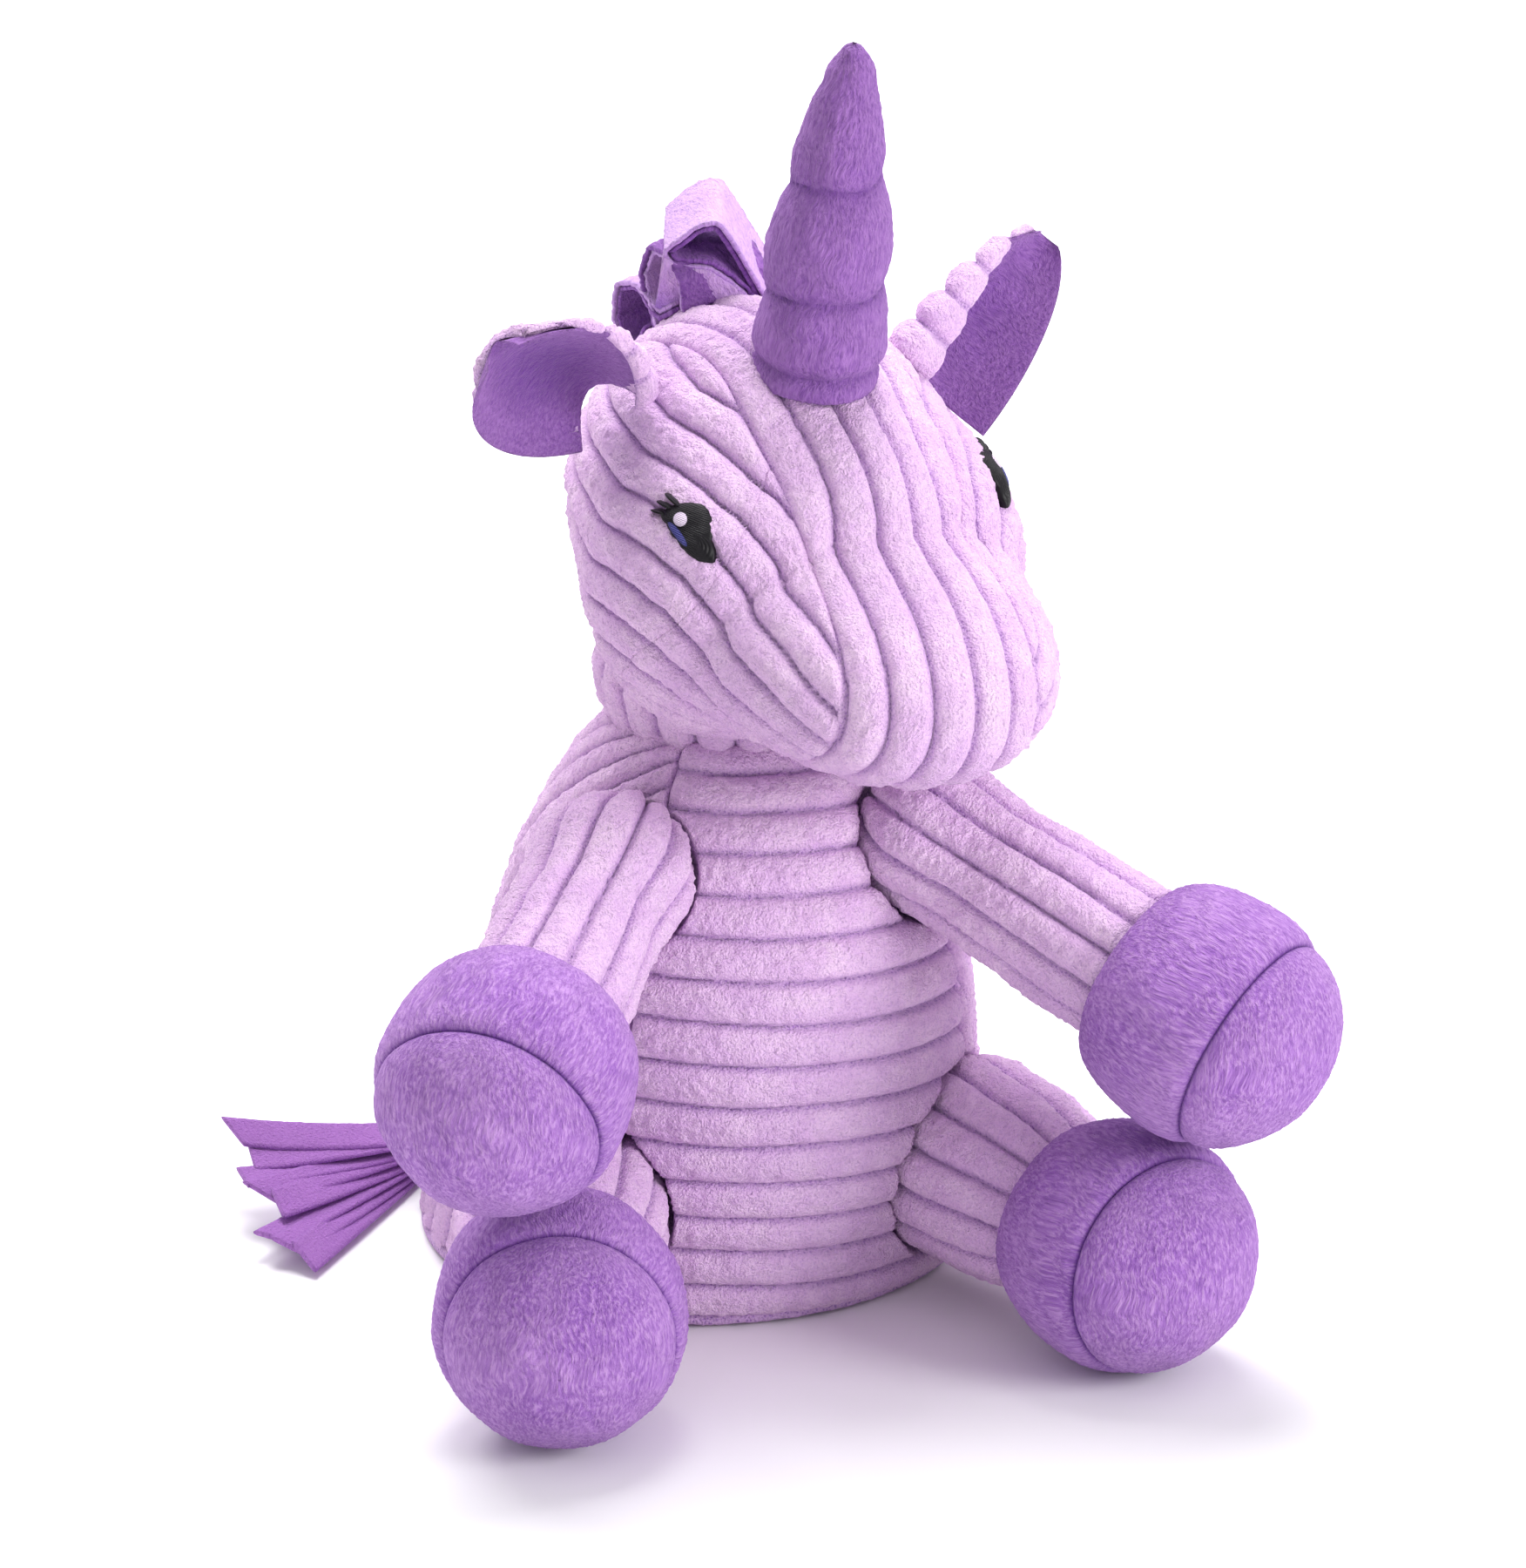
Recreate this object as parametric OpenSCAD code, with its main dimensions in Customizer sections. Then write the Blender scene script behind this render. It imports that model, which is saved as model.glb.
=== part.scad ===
// Seated plush unicorn: sewn cloth panels over stuffing, with floppy limbs, ears, neck and tail.
// Millimetres, +Z up, the toy faces -Y, its own left is +X, origin at the middle of the flat seat.

/* [Torso] */
// Radius of the round base panel
seat_r = 72; // [64:1:80]
// Height of the torso from the floor to the neck opening
torso_h = 147; // [136:1:152]
// How far the chest leans forward of the seat
lean = 30; // [16:1:36]
// Thickness of the plush cloth
cloth = 2.4; // [1.6:0.2:3]
// Gap left at every seam between two panels
seam = 0.4; // [0.3:0.1:0.8]
// Half of the angle that the belly panel wraps
belly_half = 48; // [38:1:56]
// Twist of the belly panel about the torso
belly_turn = 7; // [-10:1:12]
// Height of the bag of beads that weights the seat
bag_h = 22; // [14:1:30]

/* [Head] */
// Height of the middle of the head above the top of the torso
head_rise = 55; // [49:1:69]
// Turn of the head to the toy's left at rest
head_yaw = 13; // [0:1:20]
// Dip of the muzzle at rest
head_pitch = 14; // [6:1:18]
// Scale of the head
head_size = 1; // [0.9:0.02:1.06]
// Radius of the stuffed neck ball
neck_r = 27; // [22:1:28]

/* [Horn] */
// Length of the horn
horn_l = 82; // [66:1:96]
// Radius of the horn at its seam
horn_r = 17; // [13:0.5:19]
// Number of fat rolls that the spiral thread pinches
horn_rolls = 3; // [2:1:4]

/* [Ears and mane] */
// Length of an ear from its seam to its tip
ear_l = 52; // [42:1:56]
// Half width of an ear
ear_w = 22; // [17:1:24]
// Number of loops in the mane
mane_loops_n = 5; // [3:1:6]

/* [Limbs] */
// Radius of a hoof
hoof_r = 30.5; // [26:0.5:30.5]
// Radius of the round root of a leg
leg_root_r = 27; // [22:0.5:28]
// Radius of the round root of an arm
arm_root_r = 21; // [17:0.5:22]
// Angle from the limb's line at which a sleeve meets its hoof
cuff_angle = 43; // [36:1:46]
// Angle from the limb's line at which the sole is sewn in
sole_angle = 70; // [60:1:76]

/* [Tail] */
// Number of fleece strips in the tail
strips = 8; // [5:1:8]
// Width of a fleece strip
strip_w = 10; // [8:0.5:12]
// Thickness of the fleece
fleece = 1.5; // [1:0.1:1.6]

/* [Hidden] */

gap = 0.4;            // clearance between two bodies that move
fill_gap = 0.5;       // stuffing to cloth
facet_gap = 1.2;      // more room for stuffing where the cloth is laid in flat facets
head_gap = 3;         // and more still in the head, which has hollows between its round parts
eps = 0.01;

lilac = "#e6c8ef";    // corduroy plush
violet = "#8f5bb8";   // short pile of the hooves
plum = "#7d4aa0";     // horn and ear linings
fleece_c = "#a56ebe"; // tail strips
fill_c = "white";

// Limb places: where each root turns, and the middle of each hoof. The roots follow the size of the
// torso, the leg hooves rest on the floor and the arm hooves hang just over them.
head_z = torso_h + head_rise;
shoulder_x = seat_r - 30;
shoulder_y = 8 - seat_r;
shoulder_z = torso_h - 25;
hip_x = seat_r - 18;
hip_y = 11 - seat_r;
hip_z = leg_root_r + 6;
leg_z = hoof_r;
arm_left_root = [shoulder_x, shoulder_y, shoulder_z];
arm_right_root = [-shoulder_x, shoulder_y, shoulder_z];
arm_left_end = [seat_r + 19.5, -54.3 - seat_r, 2 * hoof_r + 30];
arm_right_end = [-12.5 - seat_r, -46 - seat_r, 2 * hoof_r + 32];
leg_left_root = [hip_x, hip_y, hip_z];
leg_right_root = [-hip_x, hip_y, hip_z];
leg_left_end = [seat_r + 2, -48 - seat_r, leg_z];
leg_right_end = [1 - seat_r, -45 - seat_r, leg_z];

// ---------- sheets and lofts from grids of points ----------

function flat(rows) = [for (row = rows) for (p = row) p];

// Faces of a grid with the given first index, wound one way or the other
function grid_faces(rows, cols, first, turn) =
    [for (i = [0:rows - 2]) for (j = [0:cols - 2])
        let (a = first + i * cols + j, b = a + 1, c = a + cols, d = c + 1)
        each (turn ? [[a, b, d], [a, d, c]] : [[a, d, b], [a, c, d]])];

// Index of each point around the border of a grid
function border(rows, cols) = concat(
    [for (j = [0:cols - 1]) j],
    [for (i = [1:rows - 1]) i * cols + cols - 1],
    [for (j = [cols - 2:-1:0]) (rows - 1) * cols + j],
    [for (i = [rows - 2:-1:1]) i * cols]);

// A closed sheet of cloth between an outer grid and an inner grid
module sheet(outer, inner) {
    rows = len(outer);
    cols = len(outer[0]);
    n = rows * cols;
    rim = border(rows, cols);
    m = len(rim);
    polyhedron(
        points = concat(flat(outer), flat(inner)),
        faces = concat(
            grid_faces(rows, cols, 0, true),
            grid_faces(rows, cols, n, false),
            [for (k = [0:m - 1])
                let (a = rim[k], b = rim[(k + 1) % m])
                each [[b, a, a + n], [b, a + n, b + n]]]),
        convexity = 6);
}

// A closed solid through a stack of rings
module loft(rings) {
    n = len(rings[0]);
    last = (len(rings) - 1) * n;
    polyhedron(
        points = flat(rings),
        faces = concat(
            [[for (j = [0:n - 1]) j]],
            [[for (j = [n - 1:-1:0]) last + j]],
            [for (i = [0:len(rings) - 2]) for (j = [0:n - 1])
                let (a = i * n + j, b = i * n + (j + 1) % n)
                each [[a, a + n, b + n], [a, b + n, b]]]),
        convexity = 6);
}

// ---------- torso ----------

// Radius of the torso at a share of its height, and how far its middle has leaned forward
function torso_r(z) = seat_r * lookup(z / torso_h, [
    [0, 0.985], [0.03, 1], [0.2, 0.98], [0.36, 0.92], [0.52, 0.87], [0.66, 0.81],
    [0.76, 0.74], [0.86, 0.64], [0.94, 0.53], [1, 0.43]]);
function torso_y(z) = -lean * lookup(z / torso_h, [
    [0, 0], [0.15, 0.2], [0.36, 0.62], [0.52, 0.82], [0.7, 0.92], [1, 0.9]]);
function torso_point(a, z, inset) =
    let (r = torso_r(z) - inset)
    [r * sin(a), torso_y(z) - r * cos(a), z];

torso_rows = 11;
function torso_heights(low, high) =
    [for (i = [0:torso_rows]) low + (high - low) * i / torso_rows];
function torso_grid(a0, a1, cols, inset) =
    [for (z = torso_heights(0, torso_h))
        [for (j = [0:cols]) torso_point(a0 + (a1 - a0) * j / cols, z, inset)]];

// Rounded roots of the four limbs and the neck, as the hollows that they sit in
module limb_hollow(root, end, root_r) {
    translate(root) sphere(r = root_r + gap, $fn = 48);
    along(root, end)
        cylinder(r1 = root_r + gap, r2 = root_r * root_slim + gap, h = root_r * root_h, $fn = 48);
}
module torso_hollows() {
    limb_hollow(arm_left_root, arm_left_end, arm_root_r);
    limb_hollow(arm_right_root, arm_right_end, arm_root_r);
    limb_hollow(leg_left_root, leg_left_end, leg_root_r);
    limb_hollow(leg_right_root, leg_right_end, leg_root_r);
    translate(neck_at) sphere(r = neck_r + gap, $fn = 48);
}

module torso_panel(a0, a1, cols) {
    trim = seam * 90 / (PI * seat_r);
    difference() {
        sheet(torso_grid(a0 + trim, a1 - trim, cols, 0), torso_grid(a0 + trim, a1 - trim, cols, cloth));
        torso_hollows();
    }
}
module belly_panel() color(lilac)
    torso_panel(belly_turn - belly_half, belly_turn + belly_half, 10);
module back_panel_left() color(lilac)
    torso_panel(belly_turn + belly_half, 180, 12);
module back_panel_right() color(lilac)
    torso_panel(-180, belly_turn - belly_half, 12);

// The flat round seat, sewn inside the lower edge of the panels
module base_panel() color(lilac)
    cylinder(r = torso_r(0) - cloth - facet_gap, h = cloth, $fn = 96);

module torso_fill(low, high) {
    difference() {
        loft([for (z = torso_heights(low, high))
            [for (j = [0:23]) torso_point(15 * j, z, cloth + facet_gap)]]);
        torso_hollows();
    }
}
module bead_bag() color(fill_c) torso_fill(cloth + fill_gap, bag_h);
module torso_stuffing() color(fill_c) torso_fill(bag_h + fill_gap, torso_h - cloth);

// ---------- neck and head ----------

head_at = [10, -24, head_z];
neck_at = [4, -26, torso_h + 6];

module in_head() {
    translate(head_at) rotate([0, 0, head_yaw]) rotate([head_pitch, 0, 0]) children();
}

// The head blends five egg shapes: skull, muzzle, two cheeks and the bridge of the nose.
// Each is its middle and its three radii, with x to the toy's left, y to the back and z up.
skull_r = 48.7;
head_eggs = [
    [[0, 0, 0], [skull_r, skull_r, skull_r]],
    [[0, -62, -10], [40, 45, 27]],
    [[25, -25, -10], [30, 35, 35]],
    [[-25, -25, -10], [30, 35, 35]],
    [[0, -34, 3], [27, 30, 30]]
];
blend = 8;            // higher blends the eggs more sharply

function dot3(a, b) = a[0] * b[0] + a[1] * b[1] + a[2] * b[2];
function over(a, b) = [a[0] / b[0], a[1] / b[1], a[2] / b[2]];
// How far out a line from the middle of the head leaves one egg
function egg_reach(d, egg) =
    let (u = over(d, egg[1]), v = over(egg[0], egg[1]),
         a = dot3(u, u), b = dot3(u, v), c = dot3(v, v) - 1, q = b * b - a * c)
    q > 0 ? max(0, (b + sqrt(q)) / a) : 0;
function head_reach(d) = pow(
    [for (egg = head_eggs) pow(egg_reach(d, egg), blend)] * [for (egg = head_eggs) 1], 1 / blend);

// Directions over the head: side is the angle off its middle plane, round runs from the nose (0)
// over the crown (90) to the nape (180) and back under the chin
function head_dir(side, round) =
    [sin(side), -cos(side) * cos(round), cos(side) * sin(round)];
function head_point(side, round, inset) =
    let (d = head_dir(side, round)) (head_reach(d) * head_size - inset) * d;

// Half width of the gusset and how far its middle strays from the middle plane, as angles
gusset_half = [[-180, 28], [-90, 26], [-30, 16], [0, 14], [12, 17], [25, 25], [55, 34],
    [85, 31], [110, 30], [180, 28]];
gusset_stray = [[-90, 0], [-30, -5], [0, -4], [15, 0], [30, 4], [55, 5], [85, 4], [110, 0]];
function turned(round) = round > 180 ? round - 360 : round;
function gusset_edge(round, hand) =
    lookup(turned(round), gusset_half) + hand * lookup(turned(round), gusset_stray);
// Angle off the middle plane where the cheek panel starts, behind the muzzle panel
muzzle_low = -95;
muzzle_high = 42;
muzzle_wide = 34;
function muzzle_edge(round, hand) =
    let (t = (round - muzzle_low) / (muzzle_high - muzzle_low))
    gusset_edge(round, hand) + (t > 0 && t < 1 ? muzzle_wide * sin(180 * t) : 0);

seam_angle = seam / 1.2;   // half a seam on the head, as an angle from its middle

module head_patch(r0, r1, rows, cols, inset, thick) {
    rounds = [for (i = [0:rows]) r0 + (r1 - r0) * i / rows];
    function strip(round, depth) =
        let (a = seam_angle - gusset_edge(round, -1), b = gusset_edge(round, 1) - seam_angle)
        [for (j = [0:cols]) head_point(a + (b - a) * j / cols, round, depth)];
    sheet([for (r = rounds) strip(r, inset)], [for (r = rounds) strip(r, inset + thick)]);
}
module neck_hollow() {
    difference() {
        in_head() children();
        translate(neck_at) sphere(r = neck_r + gap, $fn = 48);
    }
}
// The hole in the gusset that the horn is sewn round
module horn_hole() on_crown() translate([0, 0, -horn_r]) cylinder(r = horn_r + gap, h = 2 * horn_r, $fn = 72);
gusset_from = -70;
gusset_to = 215;
module head_gusset() color(lilac) difference() {
    neck_hollow() head_patch(gusset_from + seam_angle, gusset_to - seam_angle, 40, 8, 0, cloth);
    horn_hole();
}
module chin_panel() color(lilac) neck_hollow()
    head_patch(gusset_to - 360 + seam_angle, gusset_from - seam_angle, 10, 8, 0, cloth);

module muzzle_panel(hand) {
    rows = 15;
    cols = 6;
    span = muzzle_high - muzzle_low;
    rounds = [for (i = [0:rows]) muzzle_low + span * (0.06 + 0.88 * i / rows)];
    function row(round, depth) =
        let (a = gusset_edge(round, hand) + seam_angle, b = muzzle_edge(round, hand) - seam_angle)
        [for (j = [0:cols])
            let (f = hand > 0 ? j / cols : 1 - j / cols) head_point(hand * (a + (b - a) * f), round, depth)];
    sheet([for (r = rounds) row(r, 0)], [for (r = rounds) row(r, cloth)]);
}
module muzzle_panel_left() color(lilac) neck_hollow() muzzle_panel(1);
module muzzle_panel_right() color(lilac) neck_hollow() muzzle_panel(-1);

// A cheek panel is the rest of one side of the head, a dish closed at the side's middle
module cheek_panel(hand) {
    around = 40;
    rings = 6;
    function ring(i, depth) =
        [for (j = [0:around - 1])
            let (round = -180 + 360 * j / around, a = muzzle_edge(round, hand) + seam_angle)
            head_point(hand * (a + (84 - a) * i / rings), round, depth)];
    outer = [for (i = [0:rings]) ring(i, 0)];
    inner = [for (i = [rings:-1:0]) ring(i, cloth)];
    stack = concat(outer, inner);
    n = around;
    m = len(stack);
    tip = m * n;
    // Outer rings, the rim at ring 0 joins outer to inner, and a small cap closes each side
    function quad(a, b, c, d) = hand > 0 ? [[a, b, c], [a, c, d]] : [[a, c, b], [a, d, c]];
    polyhedron(
        points = concat(flat(stack), [head_point(hand * 90, 0, 0), head_point(hand * 90, 0, cloth)]),
        faces = concat(
            [for (i = [0:rings - 1]) for (j = [0:n - 1])
                let (k = (j + 1) % n)
                each quad(i * n + j, i * n + k, (i + 1) * n + k, (i + 1) * n + j)],
            [for (i = [rings + 1:m - 2]) for (j = [0:n - 1])
                let (k = (j + 1) % n)
                each quad(i * n + j, i * n + k, (i + 1) * n + k, (i + 1) * n + j)],
            [for (j = [0:n - 1])
                let (k = (j + 1) % n, last = (m - 1) * n)
                each quad(last + j, last + k, k, j)],
            [for (j = [0:n - 1])
                let (k = (j + 1) % n, a = rings * n)
                hand > 0 ? [a + j, a + k, tip] : [a + k, a + j, tip]],
            [for (j = [0:n - 1])
                let (k = (j + 1) % n, a = (rings + 1) * n)
                hand > 0 ? [a + k, a + j, tip + 1] : [a + j, a + k, tip + 1]]),
        convexity = 8);
}
module cheek_panel_left() color(lilac) neck_hollow() cheek_panel(1);
module cheek_panel_right() color(lilac) neck_hollow() cheek_panel(-1);

module head_stuffing() color(fill_c) neck_hollow() {
    n = 32;
    slices = 18;
    loft([for (i = [0:slices])
        let (side = 84 - 168 * i / slices)
        [for (j = [0:n - 1]) head_point(side, 360 * j / n, cloth + head_gap)]]);
}
module neck_stuffing() color(fill_c) translate(neck_at) sphere(r = neck_r, $fn = 64);

// An embroidered eye: a thin raised patch that follows the cheek
eye_side = 49;
eye_round = 27;
eye_w = 7.5;
eye_h = 9.5;
eye_lift = 0.9;
module eye(hand) {
    n = 6;
    function spot(i, j, lift) =
        let (u = -1 + 2 * i / n, v = -1 + 2 * j / n,
             k = hand > 0 ? v : -v,
             squeeze = 1 / max(1, norm([u, k]) / max(abs(u), abs(k), eps)))
        head_point(hand * (eye_side + eye_w * k * squeeze), eye_round + eye_h * u * squeeze, -lift);
    sheet(
        [for (i = [0:n]) [for (j = [0:n]) spot(i, j, eye_lift + eps)]],
        [for (i = [0:n]) [for (j = [0:n]) spot(i, j, eps * 5)]]);
}
module eye_left() color("#2a1a3a") in_head() eye(1);
module eye_right() color("#2a1a3a") in_head() eye(-1);

// ---------- horn ----------

horn_round = 72;      // where on the crown the horn stands, from the nose over the top
horn_lean = -4;       // lean of the horn from the head's own upright
horn_seat = head_reach(head_dir(0, horn_round)) * head_size;
horn_tip_r = 4.5;
horn_sink = 9;        // the base reaches this far below its seam, to be cut to the crown
horn_bed = 1.5;       // and beds this deep in the hole of the gusset

// Outline of the horn: a full cone, and the rolls that bulge from it between the turns of the thread
function horn_cone(t) = horn_r * (1 - pow(t, 1.6)) + horn_tip_r * t;
function horn_out(t) = horn_cone(t) * (0.9 + 0.12 * abs(sin(180 * horn_rolls * pow(t, 0.75))));
module horn_profile(inset, sink) {
    steps = 24;
    side = [for (i = [0:steps]) let (t = 0.04 + 0.92 * i / steps) [horn_out(t) - inset, horn_l * t]];
    polygon(concat([[0, -sink], [side[0][0], -sink]], side, [[0, horn_l - inset]]));
}
module on_crown() {
    in_head() translate(horn_seat * head_dir(0, horn_round)) rotate([horn_lean, 0, 0]) children();
}
// A piece of the horn with its base cut to the round of the head
module on_bed() {
    difference() {
        on_crown() rotate_extrude($fn = 72) children();
        in_head() sphere(r = horn_seat - horn_bed, $fn = 96);
    }
}
module horn_cover() color(plum) on_bed() difference() {
    horn_profile(0, horn_sink);
    horn_profile(cloth, horn_sink + eps);
}
module horn_stuffing() color(fill_c) on_bed() horn_profile(cloth + fill_gap, horn_sink);

// Gathering thread wound up the horn, lying in the creases
thread_r = 0.5;
function thread_point(t, r, a) =
    let (turn = 360 * (horn_rolls - 0.5) * t + 200, h = horn_l * (0.14 + 0.74 * t),
         out = 1.02 * horn_cone(h / horn_l) + thread_r + 0.2 + r * cos(a))
    [out * cos(turn), out * sin(turn), h + r * sin(a)];
module horn_thread() color("#5a2f80") on_crown()
    loft([for (i = [0:64]) [for (j = [0:5]) thread_point(i / 64, thread_r, -60 * j)]]);

// ---------- ears ----------

// An ear is a cupped leaf. Each has its seam on the head, the way it grows and the way it opens.
ear_left_seat = [48.2, 6.1, 19.9];
ear_left_grow = [40, 4, 32];
ear_left_open = [0.3, -0.9, -0.3];
ear_right_seat = [-43, 6, 30];
ear_right_grow = [-48, -5, 23];
ear_right_open = [-0.15, -0.95, -0.2];
ear_cup = 13;

function unit(v) = v / norm(v);
function ear_half(t) = ear_w * (0.5 + 0.5 * sin(180 * min(1, t * 1.1 + 0.05))) * sqrt(max(0, 1 - pow(t, 5)));
function ear_point(seat, grow, open, t, u, depth) =
    let (g = unit(grow), o = unit(open - dot3(open, g) * g), w = cross(g, o),
         wide = max(ear_half(t), 0.8) * u)
    seat + g * (ear_l * t) + w * wide + o * (ear_cup * (u * u - 0.35) * sin(90 + 70 * t) - depth);
module ear_leaf(seat, grow, open, near, far) {
    rows = 9;
    cols = 8;
    function grid(depth) =
        [for (i = [0:rows]) [for (j = [0:cols])
            ear_point(seat, grow, open, i / rows * 0.985, -1 + 2 * j / cols, depth)]];
    in_head() sheet(grid(near), grid(far));
}
module ear_left_back() color(lilac)
    ear_leaf(ear_left_seat, ear_left_grow, ear_left_open, cloth / 2 + eps, cloth * 1.5);
module ear_left_lining() color(plum)
    ear_leaf(ear_left_seat, ear_left_grow, ear_left_open, -cloth / 2, cloth / 2 - eps);
module ear_right_back() color(lilac)
    ear_leaf(ear_right_seat, ear_right_grow, ear_right_open, cloth / 2 + eps, cloth * 1.5);
module ear_right_lining() color(plum)
    ear_leaf(ear_right_seat, ear_right_grow, ear_right_open, -cloth / 2, cloth / 2 - eps);

// ---------- mane ----------

// Folded loops of cloth sewn in a row from behind the horn to the nape
mane_first = 112;
mane_step = 19;
loop_w = 25;
loop_h = 18;
loop_t = 9;
module mane_loops() color("#c79ad8") in_head()
    for (i = [0:mane_loops_n - 1]) {
        round = mane_first + mane_step * i;
        d = head_dir(0, round);
        reach = head_reach(d) * head_size;
        translate(reach * d) rotate([90 - round, 0, 0]) rotate([0, 90, 0])
            translate([-1.2, 0, -loop_w / 2]) linear_extrude(loop_w) mirror([1, 0]) union() {
                translate([-1, -loop_t / 2]) square([loop_h - loop_t / 2 - 1, loop_t]);
                translate([loop_h - loop_t / 2 - 2, 0]) circle(d = loop_t, $fn = 40);
            }
    }

// ---------- limbs ----------

function arc(r, at, from, to, steps) =
    [for (i = [0:steps]) let (a = from + (to - from) * i / steps) [r * sin(a), at + r * cos(a)]];

// A limb's length runs along +Z from its root to the middle of its hoof
module along(root, end) {
    v = end - root;
    translate(root) rotate([0, acos(v[2] / norm(v)), atan2(v[1], v[0])]) children();
}
function cuff_r() = hoof_r * sin(cuff_angle);
function cuff_z(l) = l - hoof_r * cos(cuff_angle) - seam;

root_slim = 0.87;     // a sleeve tapers to this share of its root
root_h = 0.8;         // over this share of the root's radius
module sleeve(l, root_r) {
    slim = root_r * root_slim;
    top = root_r * root_h;
    cuff = cuff_z(l);
    rotate_extrude($fn = 72) difference() {
        polygon(concat(arc(root_r, 0, 180, 90, 10), [[slim, top], [cuff_r(), cuff], [0, cuff]]));
        polygon(concat(arc(root_r - cloth, 0, 180, 90, 10),
            [[slim - cloth, top], [cuff_r() - cloth, cuff + eps], [0, cuff + eps]]));
    }
}
module hoof_shell(l) {
    rotate_extrude($fn = 72) polygon(concat(
        arc(hoof_r, l, 180 - cuff_angle, sole_angle, 12),
        arc(hoof_r - cloth, l, sole_angle, 180 - cuff_angle, 12)));
}
module sole(l) {
    low = sole_angle - seam * 60 / hoof_r;
    rotate_extrude($fn = 72) polygon(concat(
        arc(hoof_r, l, low, 0, 8), arc(hoof_r - cloth, l, 0, low, 8)));
}
module limb_fill(l, root_r) {
    t = cloth + fill_gap;
    mouth = asin((cuff_r() - t) / (hoof_r - t));
    rotate_extrude($fn = 72) polygon(concat(
        arc(root_r - t, 0, 180, 90, 10),
        [[root_r * root_slim - t, root_r * root_h]],
        arc(hoof_r - t, l, 180 - mouth, 0, 16)));
}

arm_left_l = norm(arm_left_end - arm_left_root);
arm_right_l = norm(arm_right_end - arm_right_root);
leg_left_l = norm(leg_left_end - leg_left_root);
leg_right_l = norm(leg_right_end - leg_right_root);

module arm_left_sleeve() color(lilac) along(arm_left_root, arm_left_end) sleeve(arm_left_l, arm_root_r);
module arm_left_hoof() color(violet) along(arm_left_root, arm_left_end) hoof_shell(arm_left_l);
module arm_left_sole() color(violet) along(arm_left_root, arm_left_end) sole(arm_left_l);
module arm_left_stuffing() color(fill_c) along(arm_left_root, arm_left_end) limb_fill(arm_left_l, arm_root_r);
module arm_right_sleeve() color(lilac) along(arm_right_root, arm_right_end) sleeve(arm_right_l, arm_root_r);
module arm_right_hoof() color(violet) along(arm_right_root, arm_right_end) hoof_shell(arm_right_l);
module arm_right_sole() color(violet) along(arm_right_root, arm_right_end) sole(arm_right_l);
module arm_right_stuffing() color(fill_c)
    along(arm_right_root, arm_right_end) limb_fill(arm_right_l, arm_root_r);
module leg_left_sleeve() color(lilac) along(leg_left_root, leg_left_end) sleeve(leg_left_l, leg_root_r);
module leg_left_hoof() color(violet) along(leg_left_root, leg_left_end) hoof_shell(leg_left_l);
module leg_left_sole() color(violet) along(leg_left_root, leg_left_end) sole(leg_left_l);
module leg_left_stuffing() color(fill_c) along(leg_left_root, leg_left_end) limb_fill(leg_left_l, leg_root_r);
module leg_right_sleeve() color(lilac) along(leg_right_root, leg_right_end) sleeve(leg_right_l, leg_root_r);
module leg_right_hoof() color(violet) along(leg_right_root, leg_right_end) hoof_shell(leg_right_l);
module leg_right_sole() color(violet) along(leg_right_root, leg_right_end) sole(leg_right_l);
module leg_right_stuffing() color(fill_c)
    along(leg_right_root, leg_right_end) limb_fill(leg_right_l, leg_root_r);

// ---------- tail ----------

tab_w = 16;
tab_t = 4;
tab_h = 15;
tail_floor = 1.4;     // height of the lowest strip above the floor
strip_step = fleece + 0.2;
tail_hug = seat_r + strip_w / 2 + 2.5;   // the strips lie round the seat at this distance
tip_high = [-40 - seat_r, 42];           // tips of the highest and the lowest strip
tip_low = [-36 - seat_r, -8];

module tail_tab() color(fleece_c)
    translate([-tab_w / 2, seat_r + 0.3, tail_floor]) cube([tab_w, tab_t, tab_h]);

// Path of one strip from the tab round the seat to its tip, each a little longer or shorter
function strip_path(i) =
    let (high = i / max(1, strips - 1), tip = tip_low + (tip_high - tip_low) * high,
         hug = [for (a = [8:13:60]) tail_hug * [-sin(a), cos(a)]], last = hug[len(hug) - 1])
    concat(hug, [last + (tip - last) * 0.5, last + (tip - last) * (0.94 + 0.06 * (i % 3))]);
module tail_strip(i) {
    p = strip_path(i);
    z = tail_floor + strip_step * i;
    n = len(p);
    function side(k) =
        let (d = p[min(k + 1, n - 1)] - p[max(k - 1, 0)]) [-d[1], d[0]] / norm(d);
    loft([for (k = [0:n - 1])
        let (s = side(k) * strip_w / 2, a = p[k] - s, b = p[k] + s)
        [[a[0], a[1], z], [a[0], a[1], z + fleece], [b[0], b[1], z + fleece], [b[0], b[1], z]]]);
}
module tail_strips() color(fleece_c)
    for (i = [0:strips - 1]) tail_strip(i);

// ---------- what is drawn ----------

belly_panel();
back_panel_left();
back_panel_right();
base_panel();
torso_stuffing();
bead_bag();
tail_tab();
neck_stuffing();
head_gusset();
chin_panel();
cheek_panel_left();
cheek_panel_right();
muzzle_panel_left();
muzzle_panel_right();
head_stuffing();
eye_left();
eye_right();
mane_loops();
horn_cover();
horn_stuffing();
horn_thread();
ear_left_back();
ear_left_lining();
ear_right_back();
ear_right_lining();
arm_left_sleeve();
arm_left_hoof();
arm_left_sole();
arm_left_stuffing();
arm_right_sleeve();
arm_right_hoof();
arm_right_sole();
arm_right_stuffing();
leg_left_sleeve();
leg_left_hoof();
leg_left_sole();
leg_left_stuffing();
leg_right_sleeve();
leg_right_hoof();
leg_right_sole();
leg_right_stuffing();
tail_strips();
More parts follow.
